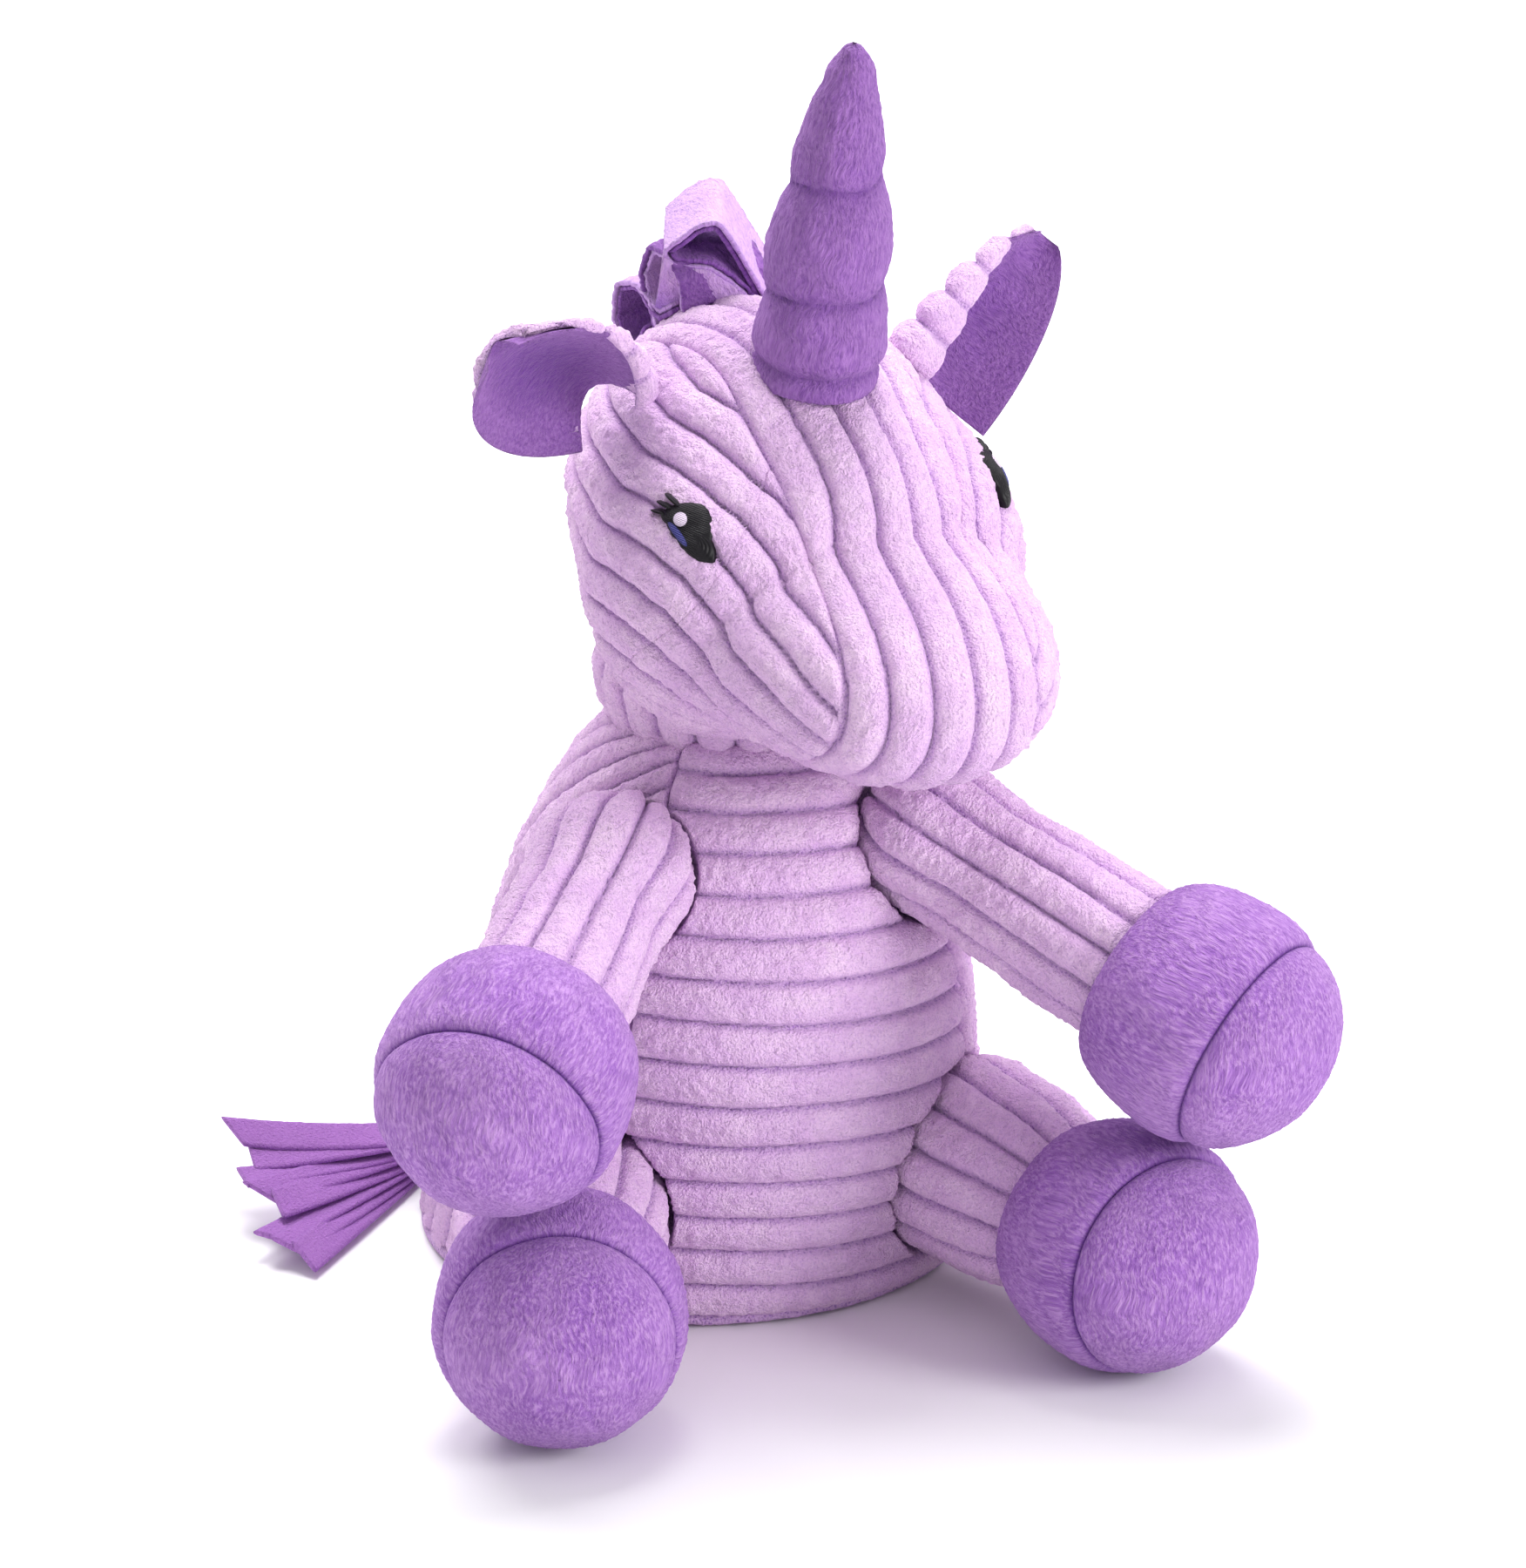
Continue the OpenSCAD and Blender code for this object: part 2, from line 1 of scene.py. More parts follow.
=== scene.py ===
# %% [markdown]
# # A seated plush unicorn, sewn panel by panel
# The toy is cut from three cloths: a fat-ribbed corduroy plush for the body, a short pile for the hooves,
# the horn and the ears' linings, and a thin fleece for the tail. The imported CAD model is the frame:
# it says where each panel lies and which joint moves it. Here every soft panel gets its real surface.
# Lengths are written in millimetres, as on a sewing pattern, and turned into metres when a mesh is made.

import math

import bpy
import numpy as np
from mathutils import Matrix, Vector


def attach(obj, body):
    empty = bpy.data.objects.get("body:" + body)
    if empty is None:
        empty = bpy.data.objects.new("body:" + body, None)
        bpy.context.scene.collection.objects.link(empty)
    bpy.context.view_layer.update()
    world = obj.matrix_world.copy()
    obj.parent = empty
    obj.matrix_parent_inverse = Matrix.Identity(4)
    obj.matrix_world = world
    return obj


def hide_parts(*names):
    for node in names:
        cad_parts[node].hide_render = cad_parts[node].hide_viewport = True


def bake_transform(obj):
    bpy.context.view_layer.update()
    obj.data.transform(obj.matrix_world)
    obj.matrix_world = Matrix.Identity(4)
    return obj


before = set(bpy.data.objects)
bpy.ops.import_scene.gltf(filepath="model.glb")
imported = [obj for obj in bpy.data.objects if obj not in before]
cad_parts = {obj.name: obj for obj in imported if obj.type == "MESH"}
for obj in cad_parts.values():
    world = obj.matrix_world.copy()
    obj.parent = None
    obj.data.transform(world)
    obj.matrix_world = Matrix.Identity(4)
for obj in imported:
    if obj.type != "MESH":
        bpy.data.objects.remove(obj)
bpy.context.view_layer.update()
mm = 0.001

# %% [markdown]
# ## Camera
# A long lens from a little above and from the toy's right keeps the hooves and the head in proportion.
# A short lens close by would swell the near hooves, so the camera stands well back.

# %% Camera
view_turn = math.radians(-18)
view_rise = math.radians(20)
view_reach = 1.8
aim = Vector((0.0280, 0.0309, 0.1045))
back = Vector((math.sin(view_turn) * math.cos(view_rise), -math.cos(view_turn) * math.cos(view_rise),
               math.sin(view_rise)))
lens = bpy.data.cameras.new("camera")
lens.lens = 160.2
lens.sensor_width = 36
lens.clip_end = 30
camera = bpy.data.objects.new("camera", lens)
camera.location = aim + back * view_reach
camera.rotation_mode = "QUATERNION"
camera.rotation_quaternion = (-back).to_track_quat("-Z", "Y")
scene = bpy.context.scene
scene.collection.objects.link(camera)
scene.camera = camera
print("camera at", tuple(round(c, 3) for c in camera.location))

# %% [markdown]
# ## Shader sums as Python
# A material is easier to read as a sum than as a web of nodes. `Value` wraps one socket, and each
# operator on it adds the Math node that does that sum. Colours go through Mix nodes instead, because a
# Math node would turn them grey.

# %% Value and Paint
class Value:
    """One number in a material, as a socket that Python can do sums with."""

    def __init__(self, paint, socket):
        self.paint = paint
        self.socket = socket

    def sum(self, operation, *others):
        return self.paint.node("ShaderNodeMath", {"operation": operation}, *others)

    def __add__(self, other):
        return self.sum("ADD", self, other)

    __radd__ = __add__

    def __sub__(self, other):
        return self.sum("SUBTRACT", self, other)

    def __rsub__(self, other):
        return self.sum("SUBTRACT", other, self)

    def __mul__(self, other):
        return self.sum("MULTIPLY", self, other)

    __rmul__ = __mul__

    def __pow__(self, other):
        return self.sum("POWER", self, other)

    def smooth(self, low, high):
        settings = {"interpolation_type": "SMOOTHSTEP"}
        return self.paint.node("ShaderNodeMapRange", settings, self, low, high, 0.0, 1.0)


class Paint:
    """A material whose nodes are made by name."""

    def __init__(self, name):
        self.material = bpy.data.materials.new(name)
        self.material.use_nodes = True
        self.tree = self.material.node_tree
        self.shader = self.tree.nodes["Principled BSDF"]

    def put(self, socket, value):
        if isinstance(value, Value):
            self.tree.links.new(value.socket, socket)
        elif value is not None:
            socket.default_value = value

    def node(self, kind, settings=None, *inputs, output=0, **named):
        made = self.tree.nodes.new(kind)
        for key, value in (settings or {}).items():
            setattr(made, key, value)
        for socket, value in zip(made.inputs, inputs):
            self.put(socket, value)
        for key, value in named.items():
            self.put(made.inputs[key.replace("_", " ")], value)
        return Value(self, made.outputs[output])

    def mix(self, share, a, b):
        """Colour a where share is 0, b where it is 1."""
        made = self.tree.nodes.new("ShaderNodeMix")
        made.data_type = "RGBA"
        self.put(made.inputs[0], share)
        self.put(made.inputs[6], a)
        self.put(made.inputs[7], b)
        return Value(self, made.outputs[2])

    def grown(self, name):
        """A number that the mesh carries at each point."""
        return self.node("ShaderNodeAttribute", {"attribute_name": name}, output=2)

    def lay(self, name):
        """A vector that the mesh carries at each point."""
        return self.node("ShaderNodeAttribute", {"attribute_name": name}, output=1)

    def noise(self, where, scale, detail=2.0, rough=0.5):
        inputs = {"Vector": where, "Scale": scale, "Detail": detail, "Roughness": rough}
        return self.node("ShaderNodeTexNoise", None, **inputs)

    def finish(self, colour, height, relief, **numbers):
        """Joins the colour and a bump of `relief` metres, and sets the plain numbers of the shader."""
        bump = self.node("ShaderNodeBump", None, Strength=1.0, Distance=relief, Height=height)
        self.put(self.shader.inputs["Base Color"], colour)
        self.put(self.shader.inputs["Normal"], bump)
        for key, value in numbers.items():
            self.shader.inputs[key.replace("_", " ")].default_value = value
        return self.material


def linear(red, green, blue):
    """A colour given in 0 to 255 as a dyer's card would, made linear for the shader."""
    parts = [c / 255 for c in (red, green, blue)]
    return tuple(c / 12.92 if c <= 0.04045 else ((c + 0.055) / 1.055) ** 2.4 for c in parts) + (1.0,)

# %% [markdown]
# ## Smooth noise and eased curves
# Cloth is never even. Blender's own noise works on textures, but the pile here is real relief in the
# mesh, so the same kind of smooth noise is worked out on arrays of points. `eased` rounds off the
# corners of a short list of measures, as a pattern maker does with a French curve.

# %% Noise and curves
draws = np.random.default_rng(11)
corner_pull = draws.normal(size=(1024, 3))
corner_pull /= np.linalg.norm(corner_pull, axis=1)[:, None]


def grain(points, size, seed=0):
    """Smooth noise from about -1 to 1. size is how wide its lumps are, in mm, alike or for x, y and z."""
    spot = points / np.array(size, float) + 500 + 31.7 * seed
    cell = np.floor(spot).astype(np.int64)
    part = spot - cell
    ease = part * part * part * (part * (part * 6 - 15) + 10)
    total = np.zeros(points.shape[:-1])
    for corner in np.ndindex(2, 2, 2):
        at = cell + corner
        key = (at[..., 0] * 73856093 ^ at[..., 1] * 19349663 ^ at[..., 2] * 83492791) % len(corner_pull)
        weight = np.where(np.array(corner) == 1, ease, 1 - ease).prod(-1)
        total += weight * ((part - corner) * corner_pull[key]).sum(-1)
    return 1.7 * total


def eased(pairs, soften=0.05):
    """A smooth function through (place, value) pairs."""
    places, values = np.array(pairs, float).T
    steps = 600
    fine = np.linspace(places[0], places[-1], steps)
    half = max(1, int(steps * soften))
    window = np.hanning(2 * half + 3)
    row = np.pad(np.interp(fine, places, values), half + 1, mode="reflect", reflect_type="odd")
    row = np.convolve(row, window / window.sum(), "valid")
    return lambda place: np.interp(place, fine, row)


def unit(v):
    return v / np.maximum(np.linalg.norm(v, axis=-1, keepdims=True), 1e-9)


def along(points, axis):
    """Length run so far along one direction of a grid of points."""
    step = np.linalg.norm(np.diff(points, axis=axis), axis=-1)
    return np.concatenate([np.zeros_like(np.take(step, [0], axis)), np.cumsum(step, axis)], axis)


# %% [markdown]
# ## From a grid of points to a piece of cloth
# Each panel is a grid of points on the stuffed shape. It is pushed out or in by the relief of its pile,
# and a second, plain grid inside gives the cloth its thickness, so the piece is a closed solid. A
# subdivided cage with a displacement texture could do the same, but the ribs must follow the cut of the
# cloth, and that is a measure along the panel, which the grid knows.

# %% Grid and cloth
spacing = 0.7
cloth_back = 1.0
made_pieces = {}


def tell(*starts):
    """Prints the pieces whose names start with one of these words, each with its number of faces."""
    print(", ".join(f"{name} {faces}" for name, faces in made_pieces.items() if name.startswith(starts)))


def count(length, step=None):
    return max(4, int(round(length / (step or spacing))))


def facing(points, inside, wrap=False):
    """Outward direction at each point of a grid, away from `inside`.

    wrap joins the last column to the first.
    """
    u = np.roll(points, -1, 1) - np.roll(points, 1, 1) if wrap else np.gradient(points, axis=1)
    v = np.gradient(points, axis=0)
    n = np.cross(u, v)
    n = unit(n)
    side = np.sign(((points - inside) * n).sum(-1).mean())
    return n * (side or 1)


def cloth(name, outer, inner, wrap=False, **carried):
    """A closed piece between an outer and an inner grid, in mm. carried are numbers kept at the points."""
    rows, cols = outer.shape[:2]
    first = np.arange(rows * cols).reshape(rows, cols)
    right = np.roll(first, -1, 1) if wrap else first[:, 1:]
    left = first if wrap else first[:, :-1]
    face = np.stack([left[:-1], right[:-1], right[1:], left[1:]], -1).reshape(-1, 4)
    shift = rows * cols
    if wrap:
        rims = [np.append(first[0], first[0, 0]), np.append(first[-1], first[-1, 0])[::-1]]
    else:
        rims = [np.concatenate([first[0], first[1:, -1], first[-1, -2::-1], first[-2::-1, 0]])]
    edge = [np.stack([r[1:], r[:-1], r[:-1] + shift, r[1:] + shift], -1) for r in rims]
    faces = np.concatenate([face, face[:, ::-1] + shift, *edge])
    corner = outer[face[:, 0] // cols, face[:, 0] % cols]
    spread = np.cross(outer.reshape(-1, 3)[face[:, 1]] - corner, outer.reshape(-1, 3)[face[:, 3]] - corner)
    depth = (outer - inner).reshape(-1, 3)[face[:, 0]]
    if (spread * depth).sum() < 0:
        faces = faces[:, ::-1]
    points = np.concatenate([outer.reshape(-1, 3), inner.reshape(-1, 3)]) * mm
    mesh = bpy.data.meshes.new(name)
    mesh.vertices.add(len(points))
    mesh.vertices.foreach_set("co", points.astype(np.float32).ravel())
    mesh.loops.add(faces.size)
    mesh.loops.foreach_set("vertex_index", faces.astype(np.int32).ravel())
    mesh.polygons.add(len(faces))
    mesh.polygons.foreach_set("loop_start", np.arange(0, faces.size, 4, dtype=np.int32))
    mesh.update(calc_edges=True)
    mesh.polygons.foreach_set("use_smooth", np.ones(len(faces), bool))
    for key, values in carried.items():
        kind = "FLOAT_VECTOR" if values.ndim == 3 else "FLOAT"
        flat = np.concatenate([values.reshape(-1), values.reshape(-1)]).astype(np.float32)
        held = mesh.attributes.new(key, kind, "POINT")
        held.data.foreach_set("vector" if values.ndim == 3 else "value", flat)
    piece = bpy.data.objects.new(name, mesh)
    scene.collection.objects.link(piece)
    made_pieces[name] = len(faces)
    return piece


def dress(piece, material, body, nodes=()):
    """Gives a piece its material and the body that carries it, and hides the CAD nodes that it stands for."""
    piece.data.materials.append(material)
    if body:
        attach(piece, body)
    if nodes:
        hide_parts(*nodes)
    return piece

# %% [markdown]
# ## Corduroy plush
# The cloth has fat ribs about 11 mm apart, each as round as a finger, with the knitted back showing in
# the narrow grooves. The rib is a flattened half round: steep at its foot, almost level on top. At a seam
# the ribs are pulled down, so their ends are round too. The terry loops of the pile are small lumps,
# strongest on the crest.

# %% Ribs
rib_pitch = 11.0
rib_high = 2.9


def pillow(gap, power=2.2):
    """Height of a stuffed round from its middle (gap 0) to its foot (gap 1)."""
    return np.sqrt(np.maximum(0.0, 1 - np.clip(gap, 0, 1) ** power))


def ribbed(points, across, seam, pitch=rib_pitch, high=rib_high, seam_wide=3.2):
    """Relief in mm, 0 on a crest, for a measure across the ribs and a distance to the nearest seam."""
    stray = 0.5 * grain(points, 32, 1) + 0.22 * grain(points, 2.6, 2)
    gap = np.abs((across + stray) / pitch % 1 * 2 - 1)
    end = 1 - np.maximum(seam, 0) / seam_wide
    full = pillow(gap * 1.05) * pillow(end, 2.0)
    loops = 0.42 * grain(points, 2.1, 3) + 0.40 * grain(points, 1.15, 4)
    swell = 0.30 * grain(points, 19, 5) + 0.26 * grain(points, 6, 6)
    relief = -high * (1 - full) + full * (loops + swell) - 0.25
    return relief, full


def ribbed_cloth(name, points, inside, across, seam, wrap=False, pull=None, **ribs):
    """A corduroy panel over a grid. pull moves the finished grid, as where a limb's root presses in."""
    out = facing(points, inside, wrap)
    relief, full = ribbed(points, across, seam, **ribs)
    outer = points + out * relief[..., None]
    inner = points - out * (rib_high + cloth_back)
    if pull:
        outer, root_shade = pull(outer, out, 0.0)
        inner, _ = pull(inner, out, cloth_back)
        # Where the cloth is drawn in round a root it takes the groove colour, as painted shade.
        full = full * (1 - root_shade)
    return cloth(name, outer, inner, wrap, pile=full)

# %% [markdown]
# ## The corduroy's material
# On the crests the pile is pale and glows at the rim of each rib, where light passes through the tips of
# the fibres: that is what sheen does. In the grooves the knitted back shows as a fine net, and its colour is
# darkened as painted shade; the same painted shade lies along the seams and round the roots of the limbs.
# Where the terry noise dips, and with it the bump, the crest is painted darker, as shade between the loops.
# A soft noise leans the pile this way and that, so patches look lighter or darker.

# %% Corduroy material
def corduroy():
    paint = Paint("corduroy_lilac")
    where = paint.node("ShaderNodeTexCoord", output=3)
    pile = paint.grown("pile").smooth(0.15, 0.8)
    lean = paint.noise(where, 160.0, 3.0).smooth(0.35, 0.65)
    patch = paint.noise(where, 38.0, 2.0).smooth(0.3, 0.7)
    loops = paint.noise(where, 1500.0, 2.0, 0.6)
    net = paint.node("ShaderNodeTexVoronoi", None, Vector=where, Scale=1100.0)
    crest = paint.mix(lean * 0.6, linear(252, 219, 252), linear(237, 193, 243))
    crest = paint.mix(patch * 0.4, crest, linear(227, 181, 238))
    # Where the terry noise is low, as the bump is, the crest is painted darker: painted shade between the
    # loops.
    crest = paint.mix(loops.smooth(0.3, 0.55) * -0.45 + 0.45, crest, linear(200, 152, 220))
    # The groove colour is the knitted back darkened as painted shade, laid in the grooves, at the seams and
    # round the limb roots.
    groove = paint.mix(net.smooth(0.0, 0.6), linear(164, 116, 196), linear(222, 182, 234))
    colour = paint.mix(pile, groove, crest)
    return paint.finish(colour, loops * 0.8 + lean * 0.2, 0.0017, Roughness=0.92, Sheen_Weight=0.35,
                        Sheen_Roughness=0.42, Sheen_Tint=linear(255, 226, 255), Specular_IOR_Level=0.15)


lilac = corduroy()

# %% [markdown]
# ## Short pile
# The hooves, horn, linings and mane are a dense short pile that lies one way. Seen close it is made of
# strokes: tufts a millimetre wide and three or four long. Each mesh carries its own lay, a measure across
# and along the pile, and the noise is stretched along it. The same stroke is cut a little into the mesh.
# The tops of the tufts are painted lighter, a painted highlight, and the gaps between them darker, a painted
# shade. Seams, creases and hollows that the mesh marks are painted in the shaded tone.

# %% Pile material
def short_pile(name, light, middle, shaded, strokes=1.0):
    paint = Paint(name)
    lay = paint.lay("lay")
    tuft = paint.node("ShaderNodeTexNoise", None, Vector=lay, Scale=1.0, Detail=3.0, Roughness=0.62)
    fine = paint.node("ShaderNodeTexNoise", None, Vector=lay, Scale=2.6, Detail=2.0, Roughness=0.6)
    where = paint.node("ShaderNodeTexCoord", output=3)
    brushed = paint.noise(where, 45.0, 2.0).smooth(0.3, 0.7)
    deep = paint.grown("deep")
    body = paint.mix(brushed * 0.25, linear(*middle), linear(*light))
    # Tuft tops are painted lighter, a painted highlight, and the gaps between tufts darker, a painted shade.
    body = paint.mix(tuft.smooth(0.44, 0.68) * (0.62 * strokes), body, linear(*light))
    body = paint.mix((1.0 - tuft.smooth(0.28, 0.5)) * (0.4 * strokes), body, linear(*shaded))
    # Seams, creases and hollows marked on the mesh are painted in the shaded tone.
    body = paint.mix(deep, body, linear(*shaded))
    return paint.finish(body, tuft * 0.7 + fine * 0.3, 0.0016, Roughness=0.85, Sheen_Weight=0.22,
                        Sheen_Roughness=0.35, Sheen_Tint=linear(246, 216, 252), Specular_IOR_Level=0.2)


violet = short_pile("plush_violet", (212, 168, 228), (160, 108, 194), (106, 52, 152))
plum = short_pile("plush_plum", (176, 128, 200), (146, 98, 176), (98, 50, 138))
mauve = short_pile("mane_pile", (236, 202, 244), (212, 172, 230), (150, 104, 196), 0.7)
fleece = short_pile("fleece_violet", (188, 134, 208), (168, 112, 194), (112, 58, 158), 0.6)


def piled(points, way, depth=0.26, step=(0.75, 2.9)):
    """Relief of the strokes of a short pile that lies along `way`, and the lay that the material reads."""
    way = unit(np.array(way, float))
    run = (points * way).sum(-1, keepdims=True)
    bend = points + 1.1 * grain(points, 7, 8)[..., None] * np.array([1.0, -0.7, 0.6])
    lay = bend / step[0] + run * way * (1 / step[1] - 1 / step[0])
    tufts = grain(lay, 1.0, 9) + 0.5 * grain(lay, 0.5, 10)
    soft = 0.25 * grain(points, 14, 12)
    return depth * tufts + soft - depth, lay


def pile_cloth(name, points, inside, way, seam, wrap=False, seam_wide=5.0, sink=2.0, deep=None, lift=0.0):
    """A piece of short pile over a grid, pulled in at its seams."""
    out = facing(points, inside, wrap)
    relief, lay = piled(points, way)
    round_in = pillow(1 - np.maximum(seam, 0) / seam_wide, 2.0)
    relief = relief * (0.3 + 0.7 * round_in) - sink * (1 - round_in) + lift
    outer = points + out * relief[..., None]
    inner = points - out * (cloth_back + 1.8)
    # Unless given, the painted shade lies in the crease of each seam.
    shaded = 0.9 * (1 - round_in) ** 2 if deep is None else deep
    return cloth(name, outer, inner, wrap, lay=lay, deep=shaded)


def edge_gap(points, low=True, high=True, left=True, right=True):
    """Distance in mm from each point of a grid to the nearest of its seams."""
    up = along(points, 0)
    across = along(points, 1)
    gaps = [np.full(points.shape[:2], 1e3)]
    gaps += [up] if low else []
    gaps += [up[-1:] - up] if high else []
    gaps += [across] if left else []
    gaps += [across[:, -1:] - across] if right else []
    return np.minimum.reduce(gaps)

# %% [markdown]
# ## The torso
# Four panels make the seated body: a belly with its ribs running across, two back panels with their ribs
# running up, and a round base. A lathe could turn the shape, but the body leans forward as it rises, so
# each ring has its own middle. Where an arm or leg is sewn on, the cloth is drawn in round its root, and
# that hollow is also the room the limb swings in.

# %% Torso shape
seat_r = 72.0
torso_h = 147.0
lean = 30.0
belly_half = 48.0
belly_turn = 7.0
torso_round = eased([(0, 0.975), (0.03, 1), (0.2, 0.98), (0.36, 0.92), (0.52, 0.87), (0.66, 0.81),
                     (0.76, 0.74), (0.86, 0.64), (0.94, 0.53), (1, 0.43), (1.02, 0.36)], 0.03)
torso_lean = eased([(0, 0), (0.15, 0.2), (0.36, 0.62), (0.52, 0.82), (0.7, 0.92), (1, 0.9), (1.02, 0.9)],
                   0.05)
arm_r = 21.0
leg_r = 27.0
hoof_r = 30.5
limbs = {
    "arm_left": ((42, -64, 122), (91.5, -126.3, 91), arm_r),
    "arm_right": ((-42, -64, 122), (-84.5, -118, 93), arm_r),
    "leg_left": ((54, -61, 33), (74, -120, 30.5), leg_r),
    "leg_right": ((-54, -61, 33), (-71, -117, 30.5), leg_r),
}
roots = [(np.array(root, float), r) for root, end, r in limbs.values()]
root_room = 0.8
shade_fade = 2.0


def torso_at(turn, height):
    r = seat_r * torso_round(height / torso_h)
    a = np.radians(turn)
    return np.stack([r * np.sin(a), -lean * torso_lean(height / torso_h) - r * np.cos(a), height + 0 * a], -1)


def press_in(ball, size, points, out):
    """How far the cloth is drawn in, against `out`, to clear a ball."""
    d = points - ball
    b = (d * out).sum(-1)
    c = (d * d).sum(-1) - size * size
    return np.where(c < 0, b + np.sqrt(np.maximum(0, b * b - c)), 0.0)


def pockets(points, out, deeper):
    """Draws the cloth in round the root of each limb, and says where it is hidden there, to be painted in
    shade.
    """
    root_shade = np.zeros(points.shape[:2])
    for middle, r in roots:
        push = press_in(middle, r + root_room + deeper, points, out)
        points = points - out * push[..., None]
        root_shade = np.maximum(root_shade, np.clip(push / shade_fade, 0, 1))
    return points, root_shade


def torso_panel(start, end):
    turn, height = np.meshgrid(np.linspace(start, end, count(seat_r * math.radians(abs(end - start)))),
                               np.linspace(0, 1.02 * torso_h, count(1.15 * torso_h)))
    return torso_at(turn, height)


middle_of_torso = np.array([0, -20.0, 70.0])
belly = torso_panel(belly_turn - belly_half, belly_turn + belly_half)
up = along(belly, 0) + 0.07 * belly[..., 0] - 1.5 + 1.2 * np.sin(np.radians(belly[..., 2] * 2.4))
belly_piece = ribbed_cloth("belly", belly, middle_of_torso, up, edge_gap(belly), pull=pockets, pitch=10.7)
dress(belly_piece, lilac, "torso", ["belly_panel", "torso_stuffing", "bead_bag"])
for side, start, end in (("left", belly_turn + belly_half, 180), ("right", -180, belly_turn - belly_half)):
    panel = torso_panel(start, end)
    run = along(panel, 1)
    from_back = run[:, -1:] - run if side == "left" else run
    piece = ribbed_cloth("back_" + side, panel, middle_of_torso, from_back, edge_gap(panel), pull=pockets)
    dress(piece, lilac, "torso", ["back_panel_" + side])

# %% [markdown]
# The base is a flat disc sewn inside the lower edge. It only just shows, but it closes the body and it
# is what the toy sits on.

# %% Base
turn, reach = np.meshgrid(np.linspace(0, 360, count(2 * math.pi * seat_r), endpoint=False),
                          np.linspace(0.985 * seat_r, 0.2, count(seat_r)))
base = np.stack([reach * np.sin(np.radians(turn)), -reach * np.cos(np.radians(turn)), 0.2 + 0 * turn], -1)
base_piece = ribbed_cloth("base", base, base + np.array([0, 0, 9.0]), base[..., 0], edge_gap(base, high=False,
                          left=False, right=False), wrap=True, high=0.9)
dress(base_piece, lilac, "torso", ["base_panel"])
tell("belly", "back", "base")

# %% [markdown]
# ## The head
# The stuffed head is a skull, a long muzzle, two full cheeks and the bridge of the nose. Each is an egg,
# and their distances from the middle are blended, so that the hollows between them stay soft. Sculpting
# or metaballs would do too, but this sum and its eggs are the ones that the CAD model uses.

# %% Head shape
head_at = np.array([10.0, -24.0, 202.0])
yaw, dip = math.radians(13), math.radians(14)
head_turn = np.array(Matrix.Rotation(yaw, 3, "Z") @ Matrix.Rotation(dip, 3, "X"))
neck_at = np.array([4.0, -26.0, 153.0])
neck_r = 27.0
neck_room = 0.6
eggs = [((0, 0, 0), (48.7, 48.7, 48.7)), ((0, -62, -10), (40, 45, 27)), ((25, -25, -10), (30, 35, 35)),
        ((-25, -25, -10), (30, 35, 35)), ((0, -34, 3), (27, 30, 30))]


def head_way(side, round_):
    """Direction from the middle of the head: side is off the middle plane, round_ goes from nose to nape."""
    s, r = np.radians(side), np.radians(round_)
    return np.stack([np.sin(s) + 0 * r, -np.cos(s) * np.cos(r), np.cos(s) * np.sin(r)], -1)


def head_reach(way):
    total = 0.0
    for middle, radii in eggs:
        u, v = way / np.array(radii), np.array(middle) / np.array(radii)
        a, b, c = (u * u).sum(-1), (u * v).sum(-1), (v * v).sum() - 1
        q = b * b - a * c
        total = total + np.where(q > 0, np.maximum(0, (b + np.sqrt(np.maximum(q, 0))) / a), 0) ** 8
    return total ** (1 / 8)


def head_point(side, round_, lift=0.0):
    way = head_way(side, round_)
    return way * (head_reach(way) + lift)[..., None]


def to_row(points):
    """From the head's own axes to the frame."""
    return points @ head_turn.T + head_at


half_of_gusset = eased([(-180, 28), (-90, 26), (-30, 16), (0, 14), (12, 17), (25, 25), (55, 34), (85, 31),
                        (110, 30), (180, 28)], 0.07)
stray_of_gusset = eased([(-180, 0), (-90, 0), (-30, -5), (0, -4), (15, 0), (30, 4), (55, 5), (85, 4),
                         (110, 0), (180, 0)], 0.07)


def gusset_edge(round_, hand):
    turned = (round_ + 180) % 360 - 180
    return half_of_gusset(turned) + hand * stray_of_gusset(turned)


muzzle_low, muzzle_high, muzzle_wide = -95.0, 42.0, 34.0


def muzzle_edge(round_, hand):
    turned = (round_ + 180) % 360 - 180
    share = np.clip((turned - muzzle_low) / (muzzle_high - muzzle_low), 0, 1)
    return gusset_edge(turned, hand) + muzzle_wide * np.sin(np.pi * share)


def neck_hollow(points, out, deeper):
    """Draws the head in over the neck ball, and says where the cloth there is painted in shade."""
    push = press_in(neck_at, neck_r + neck_room + deeper, points, out)
    return points - out * push[..., None], np.clip(push / shade_fade, 0, 1)


inside_head = to_row(np.array([0.0, -10.0, 0.0]))

# %% [markdown]
# ### Gusset and chin
# The gusset runs from the nape over the crown and the nose and under the lip. Its ribs run lengthwise,
# measured from its middle line, which bends a little, as hand-fed cloth does.

# %% Gusset and chin
seam_spare = 1.1


def head_strip(first, last):
    rounds = np.linspace(first, last, count(math.radians(last - first) * 66))[:, None]
    share = np.linspace(0, 1, count(66))[None, :]
    low, high = -gusset_edge(rounds, -1) - seam_spare, gusset_edge(rounds, 1) + seam_spare
    return to_row(head_point(low + (high - low) * share, rounds + 0 * share))


